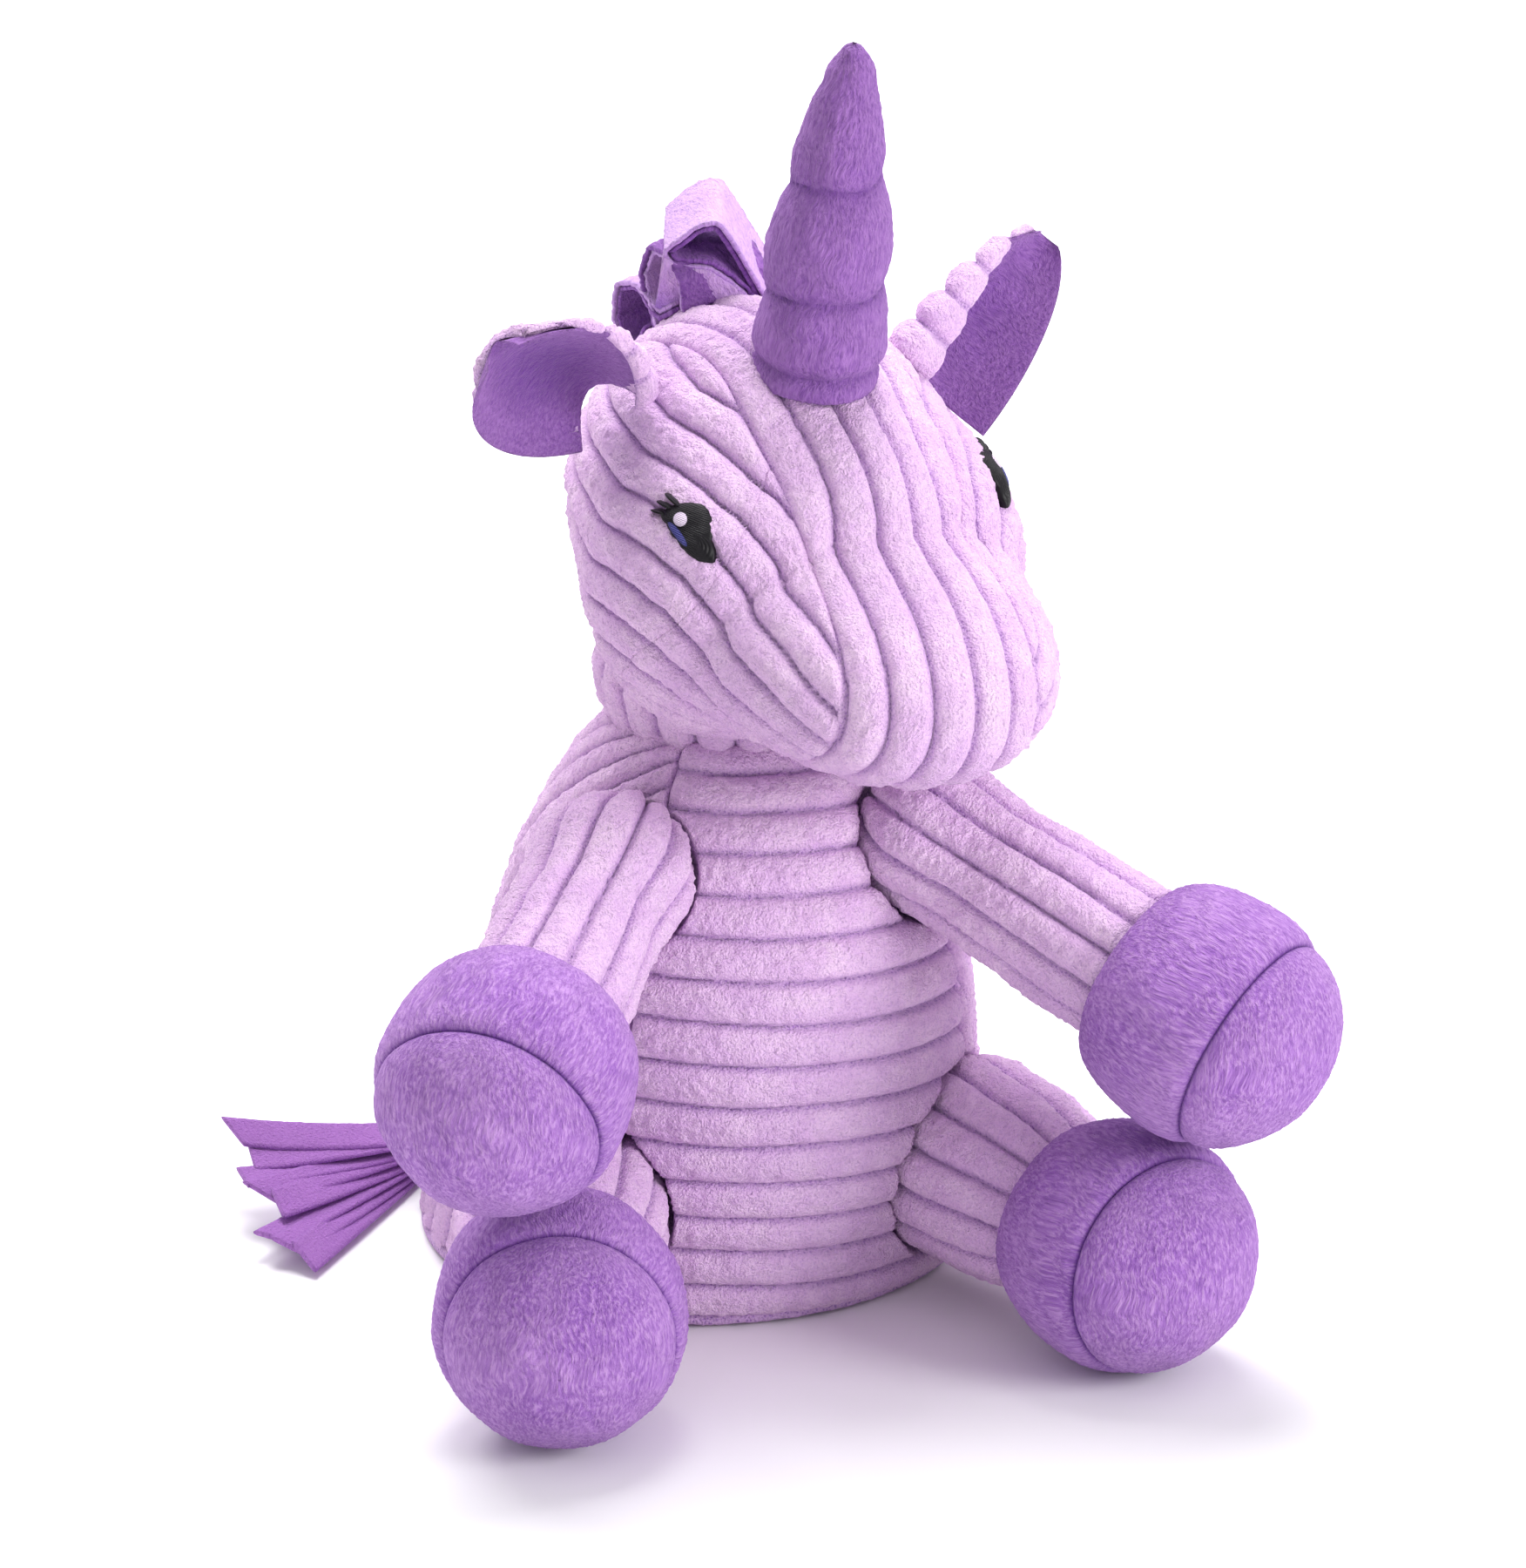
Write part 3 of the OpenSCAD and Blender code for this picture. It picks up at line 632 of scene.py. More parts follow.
for name, node, first, last in (("gusset", "head_gusset", -70, 215), ("chin", "chin_panel", -145, -70)):
    strip = head_strip(first, last)
    run = along(strip, 1)
    from_middle = run - run[:, -1:] / 2 + 5.65
    piece = ribbed_cloth(name, strip, inside_head, from_middle, edge_gap(strip), pull=neck_hollow, pitch=11.3)
    nodes = [node] + (["head_stuffing"] if name == "gusset" else [])
    dress(piece, lilac, "head", nodes)
tell("gusset", "chin")

# %% [markdown]
# ### Cheeks and muzzle
# On the sides the ribs run from the back of the head forward to the lip, dipping as they go. One rib
# is taken as the line that all the others follow, and every point of the cloth asks how far it is from
# that line, measured down over the cloth. A flat projection would crowd the ribs on the steep parts.

# %% Rib field of the head's sides
lead = eased([(-60, 3), (7, 5), (19, 8.5), (29, 9.6), (41, 8), (48, 3.9), (57.5, -4.1), (72, -7.3),
              (90, -15.8), (112, -20)], 0.012)
cut_f = np.linspace(-49, 106, 200)
cut_a = np.radians(np.linspace(-89, 89, 240))
cut_low = -8.0
far = np.full((len(cut_f), len(cut_a)), 90.0)
near = np.zeros_like(far)


def on_cut(r):
    return np.stack([r * np.cos(cut_a), np.broadcast_to(-cut_f[:, None], r.shape),
                     cut_low + r * np.sin(cut_a)], -1)


for _ in range(26):
    half = (near + far) / 2
    p = on_cut(half)
    out_of = np.linalg.norm(p, axis=-1) > head_reach(unit(p))
    far = np.where(out_of, half, far)
    near = np.where(out_of, near, half)
slices = on_cut((near + far) / 2)
run = along(slices, 1)
zero = [np.interp(lead(f), slices[i, :, 2], run[i]) for i, f in enumerate(cut_f)]
below_lead = np.array(zero)[:, None] - run


def side_ribs(points):
    """How far below the leading rib each point of a side of the head lies, in mm over the cloth."""
    local = (points - head_at) @ head_turn
    f = np.clip((-local[..., 1] - cut_f[0]) / (cut_f[1] - cut_f[0]), 0, len(cut_f) - 1.001)
    a = np.arctan2(local[..., 2] - cut_low, np.abs(local[..., 0]))
    a = np.clip((a - cut_a[0]) / (cut_a[1] - cut_a[0]), 0, len(cut_a) - 1.001)
    i, j = f.astype(int), a.astype(int)
    u, v = f - i, a - j
    return (below_lead[i, j] * (1 - u) * (1 - v) + below_lead[i + 1, j] * u * (1 - v)
            + below_lead[i, j + 1] * (1 - u) * v + below_lead[i + 1, j + 1] * u * v)


for hand, side in ((1, "left"), (-1, "right")):
    rounds = np.linspace(muzzle_low + 1, muzzle_high - 1, count(160))[:, None]
    share = np.linspace(0, 1, count(52))[None, :]
    low, high = gusset_edge(rounds, hand), muzzle_edge(rounds, hand)
    muzzle = to_row(head_point(hand * (low + (high - low) * share), rounds + 0 * share))
    to_gusset = along(muzzle, 1)
    to_cheek = to_gusset[:, -1:] - to_gusset
    seam = np.minimum(to_gusset, 1.9 + 1.2 * to_cheek)
    piece = ribbed_cloth("muzzle_" + side, muzzle, inside_head, side_ribs(muzzle), seam, pull=neck_hollow,
                         pitch=10.5)
    dress(piece, lilac, "head", ["muzzle_panel_" + side])
    rounds = np.linspace(-180, 180, count(300), endpoint=False)[None, :]
    share = np.linspace(0, 1, count(66))[:, None]
    low = muzzle_edge(rounds, hand)
    cheek = to_row(head_point(hand * (low + (89.9 - low) * share), rounds + 0 * share))
    by_muzzle = np.clip((muzzle_edge(rounds, hand) - gusset_edge(rounds, hand)) / 4, 0, 1)
    seam = edge_gap(cheek, high=False, left=False, right=False) + 1.9 * by_muzzle
    piece = ribbed_cloth("cheek_" + side, cheek, inside_head, side_ribs(cheek), seam, wrap=True,
                         pull=neck_hollow, pitch=10.5)
    dress(piece, lilac, "head", ["cheek_panel_" + side])
tell("muzzle", "cheek")


# %% [markdown]
# ### Neck
# A short soft roll of corduroy joins the body to the head and hides the ball that the head turns on.

# %% Neck
collar_ribs = 20
collar = np.array([(20, 138), (28, 140), (32, 145), (35, 151), (36.5, 158), (35, 165), (29, 170),
                   (16, 172)], float)
reach = along(collar[:, None, :], 0)[:, 0]
fine = np.linspace(0, reach[-1], count(reach[-1]))
collar_r = np.interp(fine, reach, collar[:, 0])
collar_z = np.interp(fine, reach, collar[:, 1])
turns = np.radians(np.linspace(0, 360, count(220), endpoint=False))
roll = np.stack([collar_r[:, None] * np.sin(turns), -collar_r[:, None] * np.cos(turns),
                 collar_z[:, None] + 0 * turns], -1) + np.array([3.0, -25.0, 0])
collar_turn = turns / (2 * math.pi) * collar_ribs * rib_pitch + 0 * roll[..., 0]
neck_piece = ribbed_cloth("neck", roll, neck_at, collar_turn, 1e3 + 0 * roll[..., 0], wrap=True)
dress(neck_piece, lilac, None, ["neck_stuffing"])
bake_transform(neck_piece)
tell("neck")

# %% [markdown]
# ## Arms and legs
# A limb is a corduroy tube, gathered where it meets the body and closed by a round hoof of short pile. The
# hoof has a domed sole sewn in, and its seam is pulled tight, so the pile swells on both sides of it.

# %% Limbs
cuff_angle = 43.0
sole_angle = 70.0
boot_swell = 0.085


def along_limb(root, end):
    """Axes of a limb, the third along its length, and its length."""
    axis = np.array(end, float) - np.array(root, float)
    length = np.linalg.norm(axis)
    axis = axis / length
    side = unit(np.cross(axis, (0, 0, 1.0)))
    return np.stack([side, np.cross(axis, side), axis]), length


def turned_piece(root, axes, profile, turns):
    """A grid from a profile of (radius, place along) turned round the limb."""
    r, z = profile[:, 0][:, None], profile[:, 1][:, None]
    a = np.radians(turns)[None, :]
    return np.array(root) + (r * np.cos(a))[..., None] * axes[0] + (r * np.sin(a))[..., None] * axes[1] \
        + (z + 0 * a)[..., None] * axes[2]


for name, (root, end, root_r) in limbs.items():
    axes, length = along_limb(root, end)
    plump = name.startswith("leg")
    turns = np.linspace(0, 360, count(2 * math.pi * root_r), endpoint=False)
    cuff_r = hoof_r * math.sin(math.radians(cuff_angle))
    cuff_z = length - hoof_r * math.cos(math.radians(cuff_angle))
    steps = count(cuff_z + root_r)
    ball_part = np.radians(np.linspace(150, 90, steps // 3))
    ball_line = np.stack([root_r * np.sin(ball_part), root_r * np.cos(ball_part)], -1)
    tube_z = np.linspace(0, cuff_z, steps)
    puff = 1.0 if plump else 0.4
    share = tube_z / cuff_z
    tube_r = np.interp(tube_z, [0, 0.8 * root_r, cuff_z], [root_r, 0.9 * root_r, cuff_r + 0.6])
    tube_r = tube_r + puff * np.sin(np.pi * np.clip(share * 1.1, 0, 1))
    line = np.concatenate([ball_line[:-1], np.stack([tube_r, tube_z], -1)])
    sleeve = turned_piece(root, axes, line, turns)
    out = facing(sleeve, np.array(root) + axes[2] * length / 2, True)
    sleeve = sleeve + out * (0.7 * grain(sleeve, 17, 20))[..., None]
    ribs_round = 14 if plump else 12
    rib_turn = turns[None, :] / 360 * ribs_round * rib_pitch + 0 * sleeve[..., 0]
    seam = edge_gap(sleeve, low=False, left=False, right=False)
    piece = ribbed_cloth(name + "_tube", sleeve, np.array(root) + axes[2] * length / 2, rib_turn, seam,
                         wrap=True, seam_wide=4.5)
    dress(piece, lilac, name, [name + "_sleeve", name + "_stuffing"])
    turns = np.linspace(0, 360, count(2 * math.pi * hoof_r), endpoint=False)
    for part, low, high in (("hoof", 180 - cuff_angle + 3, sole_angle), ("sole", sole_angle, 0.3)):
        a = np.radians(np.linspace(low, high, count(hoof_r * math.radians(abs(low - high)))))
        full = np.clip((np.degrees(a) - 90) / 47, 0, 1)
        boot = hoof_r * (1 + boot_swell * full * full * (3 - 2 * full))
        line = np.stack([boot * np.sin(a), length + boot * np.cos(a)], -1)
        shape = turned_piece(root, axes, line, turns)
        middle = np.array(root) + axes[2] * length
        out = facing(shape, middle, True)
        shape = shape + out * (0.5 * grain(shape, 15, 22))[..., None]
        seam = edge_gap(shape, high=part == "hoof", left=False, right=False)
        way = axes[2] if part == "hoof" else (0, 0, 1.0)
        piece = pile_cloth(name + "_" + part + "_pile", shape, middle, way, seam, wrap=True,
                           seam_wide=5.0 if part == "hoof" else 6.0, sink=1.8, lift=0.3)
        dress(piece, violet, name, [name + "_" + part])
tell("arm", "leg")

# %% [markdown]
# ## Eyes
# Each eye is embroidered: a black teardrop in satin stitch, a slim oval of blue thread low at its back, a
# slanting white highlight and three short lashes. The stitches are real ridges, laid across the shape.

# %% Eyes
def thread_paint(name, colour, shade):
    paint = Paint(name)
    # The shade colour is painted shade, laid between the stitches and round the rim of each patch.
    ridge = paint.grown("pile")
    return paint.finish(paint.mix(ridge, linear(*shade), linear(*colour)), ridge, 0.0002, Roughness=0.45,
                        Specular_IOR_Level=0.3)


black = thread_paint("thread_black", (14, 9, 20), (4, 2, 8))
blue = thread_paint("thread_blue", (84, 84, 160), (34, 32, 84))
white = thread_paint("thread_white", (244, 230, 246), (190, 170, 200))
eye_side, eye_round = 48.8, 28.0
stitch_lean = math.radians(35)
around_eye = np.radians([2, 37, 66, 96, 128, 157, 195, 222, 239, 252, 268, 289, 330, 362])
reach_of_eye = np.array([5.0, 8.5, 7.9, 7.2, 6.8, 6.5, 6.6, 8.6, 14.2, 12.6, 9.2, 5.9, 4.6, 5.0])


def stitched(name, hand, outline, middle, lean_of_stitch, lift, high, material, pitch=0.55):
    """A patch of satin stitch on the head. outline gives its reach for an angle, all in mm on the cheek."""
    a, share = np.meshgrid(np.linspace(0, 2 * np.pi, 160, endpoint=False), np.linspace(1, 0.01, 60))
    r = outline(a) * share
    u, v = middle[0] + r * np.cos(a), middle[1] + r * np.sin(a)
    across = -u * math.sin(lean_of_stitch) + v * math.cos(lean_of_stitch)
    ridge = np.abs(np.sin(np.pi * across / pitch + 0.7 * grain(np.stack([u, v, 0 * u], -1), 3, 30)))
    dome = pillow(share, 2.2)
    top = lift + dome * (high + 0.16 * ridge)
    sides, rounds = hand * (eye_side + u), eye_round + v
    return dress(cloth(name, to_row(head_point(sides, rounds, top)), to_row(head_point(sides, rounds, -3.5)),
                       True, pile=ridge * dome), material, "head")


def eye_line(a):
    return np.interp(a % (2 * np.pi), around_eye, reach_of_eye, period=2 * np.pi)


def oval(wide, tall, lean_):
    return lambda a: 1 / np.sqrt((np.cos(a - lean_) / wide) ** 2 + (np.sin(a - lean_) / tall) ** 2)


for hand, side in ((1, "left"), (-1, "right")):
    eye = stitched("eye_black_" + side, hand, eye_line, (0, 0), stitch_lean, -0.6, 1.5, black)
    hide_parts("eye_" + side)
    stitched("eye_blue_" + side, hand, oval(1.3, 5.6, math.radians(-30)), (1.5, -2.9), stitch_lean, 0.1,
             0.9, blue)
    stitched("eye_glint_" + side, hand, oval(1.9, 2.7, math.radians(-14)), (0.9, 1.6), stitch_lean, 0.5,
             0.9, white, 0.5)
    for k, (u, v, long_, lean_) in enumerate(((5.6, 8.0, 3.6, 48), (3.4, 9.4, 4.3, 60), (7.4, 5.6, 2.8, 34))):
        stitched("lash_" + side + str(k), hand, oval(long_, 0.75, math.radians(lean_)), (u, v),
                 math.radians(lean_), -0.4, 1.2, black)
tell("eye", "lash")

# %% [markdown]
# ## Horn
# The horn is a stuffed cone of short pile. One thread is wound round it and pulled tight, so it bulges in
# fat rolls between the turns. The crease climbs faster behind than in front, and the radius at any point
# depends on how far that point is from the crease.

# %% Horn
horn_l, horn_r = 82.0, 17.0
crown = head_way(0.0, 72.0)
horn_foot = crown * head_reach(crown)
lean_back = np.array(Matrix.Rotation(math.radians(-4), 3, "X"))
coil_start, coil_rise, coil_sway, coil_from = 0.2325, 0.345, 0.054, 31.0
crease_share, roll_share = 0.83, 0.18
tip_lean = 2.0
thread_r = 0.35


horn_cone = eased([(-0.1, 16.3), (0, 16.2), (0.14, 15.8), (0.36, 15.4), (0.48, 13.9), (0.56, 12.0),
                   (0.66, 11.0), (0.77, 8.9), (0.886, 6.5), (0.977, 4.6), (1, 4.3)], 0.02)


def horn_radius(t, turn):
    cone = horn_cone(t)
    lead_turn = turn + coil_from
    coil = (t + coil_sway * np.sin(np.radians(lead_turn)) - coil_start) / coil_rise - lead_turn / 360
    bulge = np.maximum(np.abs(np.sin(np.pi * coil)) ** 0.42, np.clip((t - 0.8) * 8, 0, 1))
    top = np.sqrt(np.clip(1 - np.clip((t - 0.9) / 0.1, 0, 1) ** 2, 0, 1))
    return cone * (crease_share + roll_share * bulge) * top, 1 - bulge


def on_crown(points):
    return to_row(points @ lean_back.T + horn_foot)


turn, t = np.meshgrid(np.linspace(0, 360, count(2 * math.pi * horn_r), endpoint=False),
                      np.linspace(-0.07, 0.999, count(1.2 * horn_l)))
r, crease = horn_radius(t, turn)
foot_in = 1.9 * (1 - np.clip(np.abs(t) * horn_l / 4, 0, 1)) ** 2
r = np.maximum(0.25, r - foot_in)
plain_horn = np.stack([r * np.cos(np.radians(turn)), r * np.sin(np.radians(turn)), t * horn_l], -1)
wobble = 0.5 * grain(plain_horn, 11, 24)
lean_tip = tip_lean * t * t
uneven_r = r + wobble * (t < 0.97)
horn = on_crown(np.stack([uneven_r * np.sin(np.radians(turn)),
                          -uneven_r * np.cos(np.radians(turn)) - lean_tip, t * horn_l], -1))
axis_inside = on_crown(np.stack([0 * t, -lean_tip, t * horn_l - 4], -1))
# The creases of the winding and the foot of the horn are painted darker, as shade.
horn_piece = pile_cloth("horn", horn, axis_inside, head_turn @ lean_back @ np.array([0.0, 0, 1]), 1e3 + 0 * t,
                        wrap=True, deep=np.clip(crease ** 2 * 0.75, 0, 1) + 0.35 * foot_in / 1.9, lift=0.2)
dress(horn_piece, plum, "head", ["horn_cover", "horn_stuffing"])
lead_turn = np.linspace(-110, 590, 260)
coil_t = coil_start + coil_rise * lead_turn / 360 - coil_sway * np.sin(np.radians(lead_turn))
coil_turn = lead_turn - coil_from
coil_r = horn_radius(coil_t, coil_turn)[0] - 0.3
ring = np.radians(np.arange(0, 360, 60))[:, None]


def winding_line(r, rise):
    """The thread's way round the horn at a radius, raised a little along the horn."""
    return np.stack([r * np.sin(np.radians(coil_turn)),
                     -r * np.cos(np.radians(coil_turn)) - tip_lean * coil_t ** 2, coil_t * horn_l + rise], -1)


wind = winding_line(coil_r + thread_r * np.cos(ring), thread_r * np.sin(ring)).transpose(1, 0, 2)
core = winding_line(coil_r, 0.0)[:, None, :]
wound = cloth("horn_winding", on_crown(wind), on_crown(core + (wind - core) * 0.3), True,
              pile=np.ones(wind.shape[:2]))
dress(wound, thread_paint("thread_plum", (84, 40, 120), (50, 20, 80)), "head", ["horn_thread"])
tell("horn")

# %% [markdown]
# ## Ears
# An ear is a leaf of short pile backed with corduroy. The backing is cut larger and rolls over the edge,
# where its ribs show as a row of small scallops. Both layers follow one cupped leaf.

# %% Ears
ear_l, ear_cup = 47.0, 13.0
ears = {"left": ((48.2, 6.1, 19.9), (36, 4, 38), (-0.1, -0.95, 0.0), -1, 5.0, 11.0),
        "right": ((-45.5, 9, 28.5), (-42, -14, 30), (-0.15, -0.95, -0.2), 1, 3.0, 4.0)}


def ear_leaf(seat, grow, open_, t, u, depth):
    g = unit(np.array(grow, float))
    o = np.array(open_, float)
    o = unit(o - (o @ g) * g)
    w = np.cross(g, o)
    leaf_wide = 19.5 * (1 - 0.1 * t - 0.4 * t * t) if seat[0] > 0 else 26.0 * (0.44 + 1.3 * t - 1.2 * t * t)
    half = leaf_wide * np.sqrt(np.maximum(0.0004, 1 - np.clip(t, 0, 1) ** 8))
    bow = ear_cup * (u * u - 0.35) * np.sin(np.radians(90 + 70 * t)) - depth
    spot = np.array(seat, float) + g * (ear_l * t)[..., None] + w * (half * u)[..., None]
    return spot + o * bow[..., None], w, o


for side, (seat, grow, open_, roll_edge, roll_r, roll_run) in ears.items():
    u, t = np.meshgrid(np.linspace(-1, 1, count(52)), np.linspace(-0.03, 0.985, count(56)))
    leaf, w, o = ear_leaf(seat, grow, open_, t, u, -0.4)
    rim = np.minimum((1 - np.abs(u)) * 20, (0.985 - t) * ear_l)
    front = o
    relief, lay = piled(leaf, w, 0.25, (0.8, 2.6))
    # The middle of the cupped lining is painted darker as shade, more on the right ear than the left.
    hollow_shade = np.clip(1 - (u / 0.75) ** 2 - ((t - 0.5) / 0.62) ** 2, 0, 1)
    outer = leaf + front * (relief - 1.2 * (1 - pillow(1 - rim / 3, 2)))[..., None]
    lining = cloth("ear_lining_" + side, to_row(outer), to_row(leaf - front * 1.3), False, lay=lay,
                   deep=(0.35 if side == "left" else 0.75) * hollow_shade)
    dress(lining, plum, "ear_" + side, ["ear_" + side + "_lining"])
    # The back goes behind the lining and rolls over one edge of it. v runs on past that edge.
    v, t = np.meshgrid(np.linspace(-0.92, 1.6, count(86)), np.linspace(-0.03, 0.97, count(56)))
    u = roll_edge * np.minimum(v, 1.0)
    over = np.clip((v - 1) / 0.6, 0, 1)
    roll = np.pi * np.minimum(1, over / 0.6)
    tube = roll_r * np.clip(1.0 - 0.9 * np.abs(t) ** 1.5, 0, 1)
    leaf, w, o = ear_leaf(seat, grow, open_, t, u * 0.97, 3.4)
    inward = roll_run * np.maximum(0, over - 0.6) / 0.4 * np.clip(1.02 - t, 0, 1)
    leaf = leaf + w * (roll_edge * (tube * np.sin(roll) - inward))[..., None] \
        + o * (tube * (1 - np.cos(roll)) - 0.25 * inward)[..., None]
    middle = ear_leaf(seat, grow, open_, t, np.clip(u, -0.9, 0.9), 0.0)[0]
    back_way = facing(leaf, middle, False)
    relief, full = ribbed(leaf, t * ear_l + 2, edge_gap(leaf, low=False), pitch=10.5, high=2.3, seam_wide=2.5)
    back_piece = cloth("ear_back_" + side, to_row(leaf + back_way * (relief + 0.9)[..., None]),
                       to_row(leaf - back_way * 1.5), False, pile=full)
    dress(back_piece, lilac, "ear_" + side, ["ear_" + side + "_back"])
tell("ear")

# %% [markdown]
# ## Mane
# Behind the horn a row of folded strips is sewn down the back of the head. Each strip is a loop: it rises,
# turns over and comes back, and its cut side shows darker inside.

# %% Mane
first_loop = [(15, 34), (14.5, 41), (7, 51.5), (0.5, 60), (-4.5, 58.5), (-12.5, 49.5), (-9, 46), (0, 46.8),
              (8, 42), (15, 35)]
small_loop = [(-5, -1), (-7, 6), (-3, 14), (5, 18.5), (12, 14), (14, 6), (9, 0.5), (0, 1)]


def folded_strip(name, line, place, middle, half_wide, material, inset):
    """A strip folded along a line of two measures. place turns them, and how far across, into head points."""
    line = np.array(line, float)
    run_ = along(line[:, None, :], 0)[:, 0]
    along_it, across = np.meshgrid(np.linspace(0, 1, count(run_[-1])),
                                   np.linspace(-1, 1, count(2 * half_wide)))
    first, second = (eased(list(zip(run_ / run_[-1], line[:, i])), 0.05) for i in (0, 1))
    fray = half_wide + 0.5 * grain(np.stack([along_it * 60, 0 * across, 0 * across], -1), 1.6, 33)
    loop = place(first(along_it), second(along_it), across * fray)
    loop = loop + 0.7 * grain(loop, 13, 26)[..., None] * np.array([0, 0.4, 1.0])
    out = facing(loop, place(middle[0] + 0 * across, middle[1] + 0 * across, across * fray))
    relief, lay = piled(loop, (0, 1.0, 0.2), 0.28, (0.9, 2.0))
    outer = loop + out * (relief + 0.6 - inset)[..., None]
    # The outer eighth of the strip's width on each side is painted darker, as shade at its edges.
    made = cloth(name, to_row(outer), to_row(loop - out * (inset + 0.7)), False, lay=lay,
                 deep=0.3 * np.clip(np.abs(across) * 8 - 7, 0, 1))
    dress(made, material, "head")
    return made


loop_turn = math.radians(-31)
loop_ahead = np.array([math.sin(loop_turn), -math.cos(loop_turn), 0])
loop_across = np.array([math.cos(loop_turn), math.sin(loop_turn), 0])
loop_seat = np.array([0, 37.0, 0])
upward = np.array([0, 0, 1.0])
for k in range(5):
    if k == 0:
        middle, line, half_wide = (0, 50), first_loop, 12.0
        place = lambda a, t, x: (loop_seat + a[..., None] * loop_across + (x[..., None] - 4) * loop_ahead
                                 + t[..., None] * upward)
    else:
        way = head_way(0.0, 112.0 + 19 * k)
        foot, ahead = way * head_reach(way), head_way(0.0, 202.0 + 19 * k)
        middle, line, half_wide = (4, 8), small_loop, 12.5
        place = lambda a, r, x: (foot + ahead * a[..., None] + way * (r - 0.012 * x * x)[..., None]
                                 + np.array([1.0, 0, 0]) * x[..., None])
    shown, hidden_side = (mauve, plum) if k % 2 == 0 else (plum, mauve)
    loop_piece = folded_strip("mane_" + str(k), line, place, middle, half_wide, shown, 0.0)
    folded_strip("mane_inside_" + str(k), line, place, middle, half_wide - 0.6, hidden_side, 1.5)
    if k == 0:
        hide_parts("mane_loops")

# The end of the first strip hangs from the loop's lip down to the crown and is sewn in there.
a, fall = np.meshgrid(np.linspace(-12, 16, count(30)), np.linspace(0, 1, count(20)))
lip = eased([(-12, 49), (-8, 46.5), (0, 46.5), (8, 42), (16, 34)], 0.05)
hang = loop_seat + a[..., None] * loop_across + (lip(a) - 19 * fall)[..., None] * upward \
    + (8.6 + 2.5 * np.sin(np.pi * fall) - 7 * fall ** 2)[..., None] * loop_ahead
hang = hang + 0.5 * grain(hang, 9, 27)[..., None] * loop_ahead
relief, lay = piled(hang, (0, 0.2, 1.0), 0.28, (0.9, 2.0))
# It is painted darker as it falls to the crown, as shade under the loop.
skirt_piece = cloth("mane_end", to_row(hang + relief[..., None] * loop_ahead),
                    to_row(hang - 1.5 * loop_ahead), False, lay=lay,
                    deep=np.clip(1.6 * fall - 0.35, 0, 0.9))
dress(skirt_piece, mauve, "head")
tell("mane")

# %% [markdown]
# ## Tail
# The tail is a bunch of fleece strips cut by hand and sewn to the seat behind. They lie round the seat in
# a fan on the floor. Fleece doesn't fray, so the ends are cut off plainly, each at its own slant.

# %% Tail
tail_hug = seat_r + 7.5
tip_low, tip_high = np.array([-108.0, -8.0]), np.array([-112.0, 42.0])
for k in range(8):
    share = k / 7
    tip = tip_low + (tip_high - tip_low) * share
    turns = np.radians(np.array([8, 21, 34, 47, 60]))
    hug = tail_hug * np.stack([-np.sin(turns), np.cos(turns)], -1)
    last = hug[-1]
    path = np.concatenate([hug, [last + (tip - last) * 0.5], [last + (tip - last) * (0.94 + 0.06 * (k % 3))]])
    reach = np.append(0, np.cumsum(np.linalg.norm(np.diff(path, axis=0), axis=1)))
    long_ = reach[-1]
    s = np.linspace(0, 1, count(long_))
    line_of = [eased(list(zip(reach / long_, path[:, i])), 0.07) for i in (0, 1)]
    line = np.stack([line_of[0](s), line_of[1](s)], -1)
    ahead = unit(np.gradient(line, axis=0))
    level = 1.6 + 1.75 * k + 0.5 * k * s ** 3 + 1.6 * share * np.sin(np.pi * s * (1.6 + 0.5 * (k % 2))) * s
    tilt = -np.radians((20 + 12 * math.sin(1.9 * k + 1.2)) * np.clip(s * 1.5 - 0.5, 0, 1))
    u = np.linspace(-5, 5, count(10))[None, :]
    slant = 0.5 * math.sin(2.4 * k + 1) * u * s[:, None] ** 12
    flat_way = np.stack([-ahead[:, 1], ahead[:, 0], 0 * s], -1)
    wide = flat_way * np.cos(tilt)[:, None] + np.array([0, 0, 1.0]) * np.sin(tilt)[:, None]
    sag = np.abs(np.sin(tilt)) * 5
    grid = np.concatenate([line, (level + 0.75 + sag)[:, None]], -1)[:, None, :] \
        + wide[:, None, :] * u[..., None]
    grid = grid + np.concatenate([ahead, 0 * s[:, None]], -1)[:, None, :] * slant[..., None]
    up_way = np.cross(np.concatenate([ahead, 0 * s[:, None]], -1), wide)[:, None, :] + 0 * grid
    up_way = up_way * np.sign(up_way[..., 2:3].mean())
    relief, _ = piled(grid, (1, 0, 0), 0.14, (0.7, 0.9))
    lay = np.stack([u / 0.7 + 0 * grid[..., 0], (s * long_)[:, None] / 0.9 + 0 * u,
                    9.0 * k + 0 * grid[..., 0]], -1)
    edge = np.clip(1 - (5 - np.abs(u)) / 1.0, 0, 1) ** 2 + 0 * grid[..., 0]
    outer = grid + up_way * (0.72 + relief - 0.5 * edge)[..., None]
    # The rolled edges of each strip are painted darker, as shade.
    strip = cloth("tail_strip_" + str(k), outer, grid - up_way * (0.72 - 0.4 * edge)[..., None], False,
                  lay=lay, deep=0.3 * edge)
    dress(strip, fleece, "tail", ["tail_strips"] if k == 0 else [])

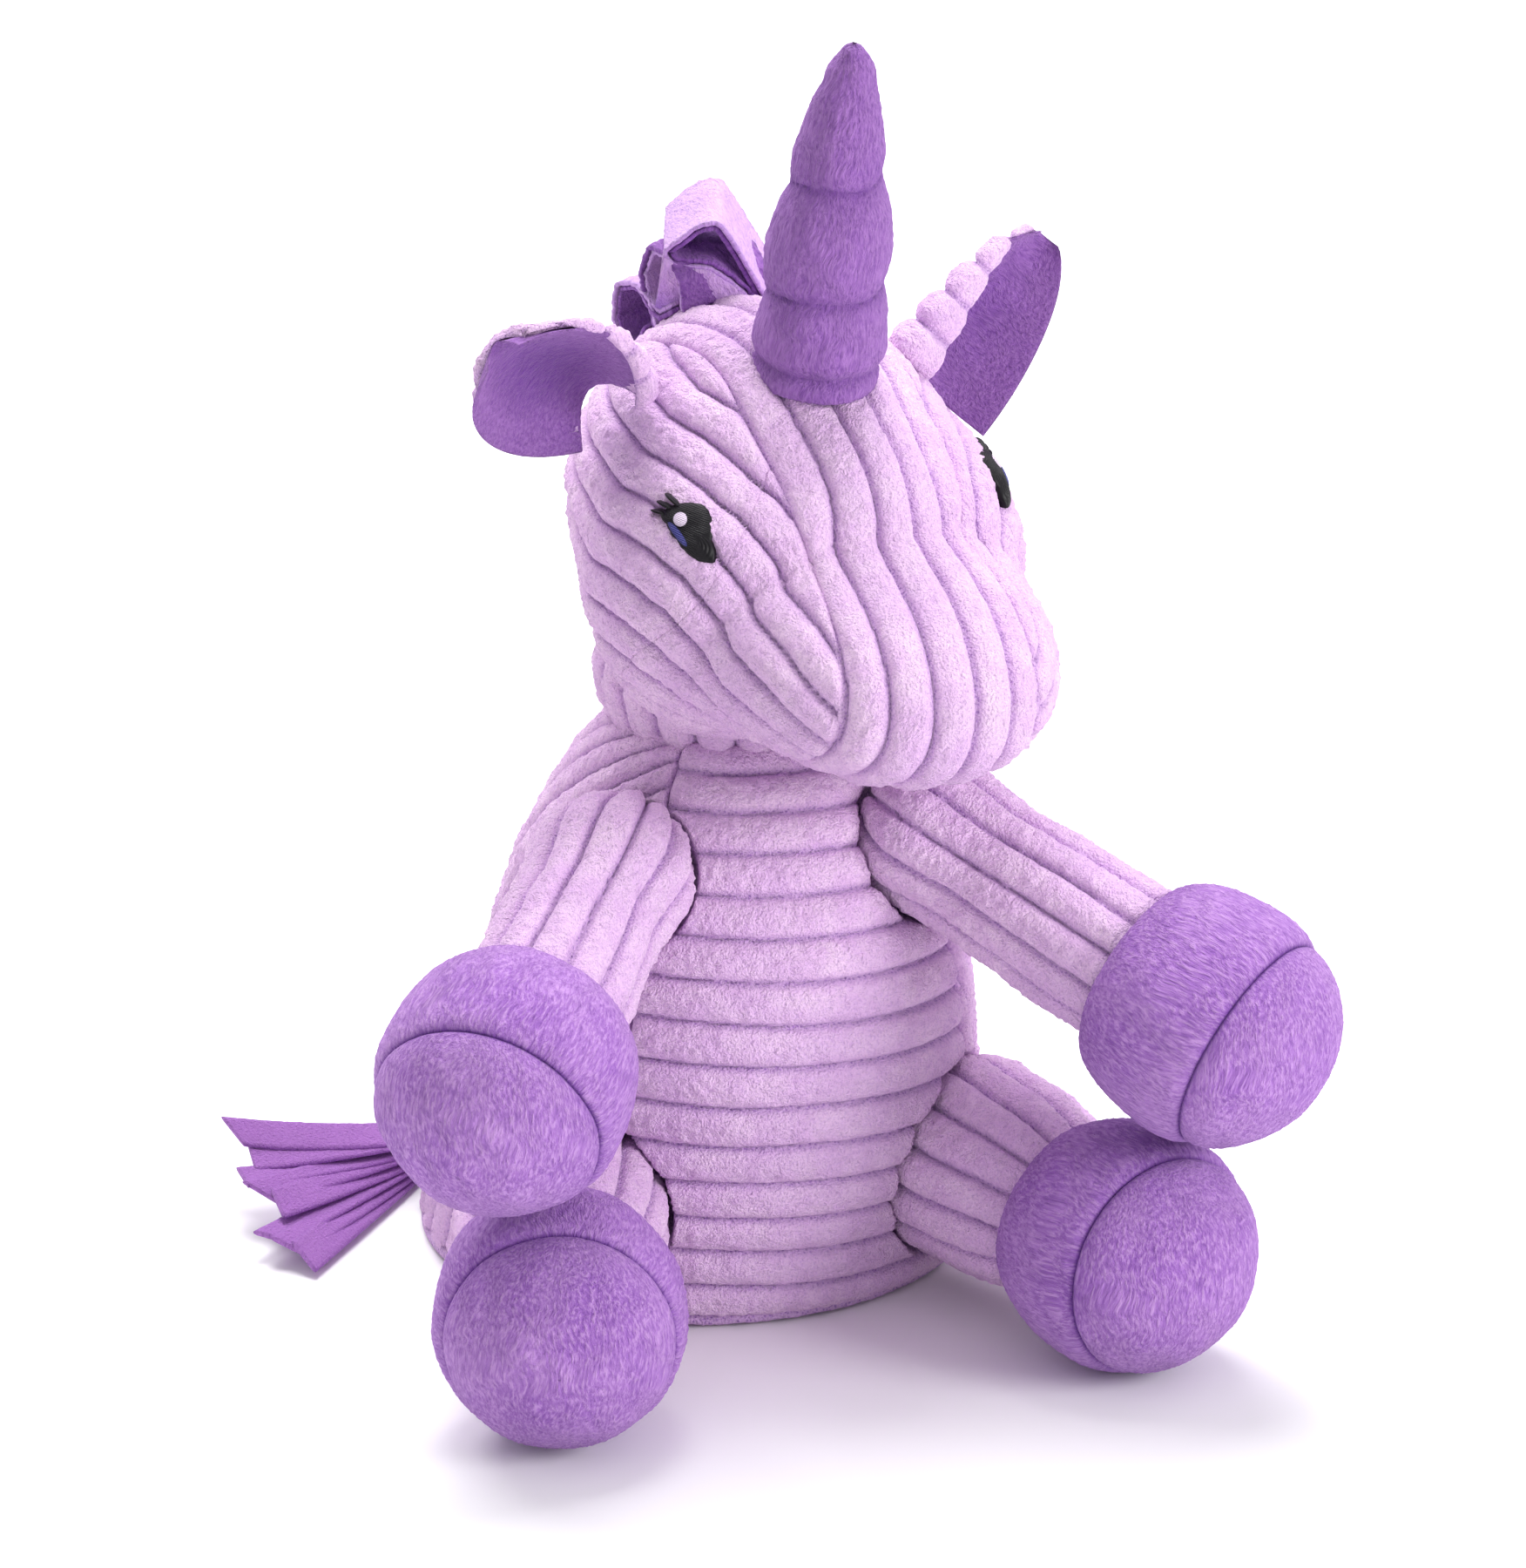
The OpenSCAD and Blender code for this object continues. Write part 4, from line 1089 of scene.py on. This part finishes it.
tab_u, tab_v = np.meshgrid(np.linspace(-8, 8, count(16)), np.linspace(0, 15, count(15)))
tab_face = np.stack([tab_u, 76.0 + 0 * tab_u, 1.6 + tab_v], -1)
round_tab = pillow(np.maximum(np.abs(tab_u) / 8, np.abs(tab_v - 7.5) / 7.5), 3)
tab_outer = tab_face + np.array([0, 1, 0]) * (0.4 * round_tab - 0.2)[..., None]
tab_lay = tab_face / 0.8
# The rim of the tab is painted darker, as shade.
tab_piece = cloth("tail_tab_cloth", tab_outer, tab_face - np.array([0, 3.4, 0]), False, lay=tab_lay,
                  deep=0.4 * (1 - round_tab))
dress(tab_piece, fleece, "torso", ["tail_tab"])
print("all pieces:", sum(made_pieces.values()), "faces")

# %% [markdown]
# ## Floor and light
# The toy sits on a wide, plain, pale floor, with a light of its own behind the toy. Large soft lights from
# above and the front keep the shadows faint, so the cloth is modelled mostly by the shade between its ribs.

# %% Stage
backdrop = Paint("backdrop")
backdrop.shader.inputs["Base Color"].default_value = (0.94, 0.94, 0.945, 1)
backdrop.shader.inputs["Roughness"].default_value = 0.9
backdrop.shader.inputs["Specular IOR Level"].default_value = 0.1
floor_mesh = bpy.data.meshes.new("floor")
wide_floor = 6.0
floor_mesh.from_pydata([(-wide_floor, -wide_floor, 0), (wide_floor, -wide_floor, 0),
                        (wide_floor, wide_floor, 0), (-wide_floor, wide_floor, 0)], [], [(0, 1, 2, 3)])
floor_mesh.materials.append(backdrop.material)
floor = bpy.data.objects.new("floor", floor_mesh)
scene.collection.objects.link(floor)

world = bpy.data.worlds.new("studio")
world.use_nodes = True
world.node_tree.nodes["Background"].inputs[0].default_value = (1.0, 1.0, 1.0, 1)
world.node_tree.nodes["Background"].inputs[1].default_value = 0.62
scene.world = world


def soft_light(name, at, size, power, toward=(0, 0, 0.12)):
    light = bpy.data.lights.new(name, "AREA")
    light.shape = "DISK"
    light.size = size
    light.energy = power
    lamp = bpy.data.objects.new(name, light)
    lamp.location = at
    lamp.rotation_mode = "QUATERNION"
    lamp.rotation_quaternion = (Vector(toward) - Vector(at)).to_track_quat("-Z", "Y")
    scene.collection.objects.link(lamp)


soft_light("top", (0.15, 0.35, 1.5), 0.9, 19.0)
soft_light("backdrop", (-0.5, 1.7, 1.7), 1.4, 42.0, (-0.5, 1.8, 0))
soft_light("front", (1.15, -1.25, 0.75), 0.8, 19.0)
scene.view_settings.view_transform = "Standard"
scene.view_settings.look = "None"
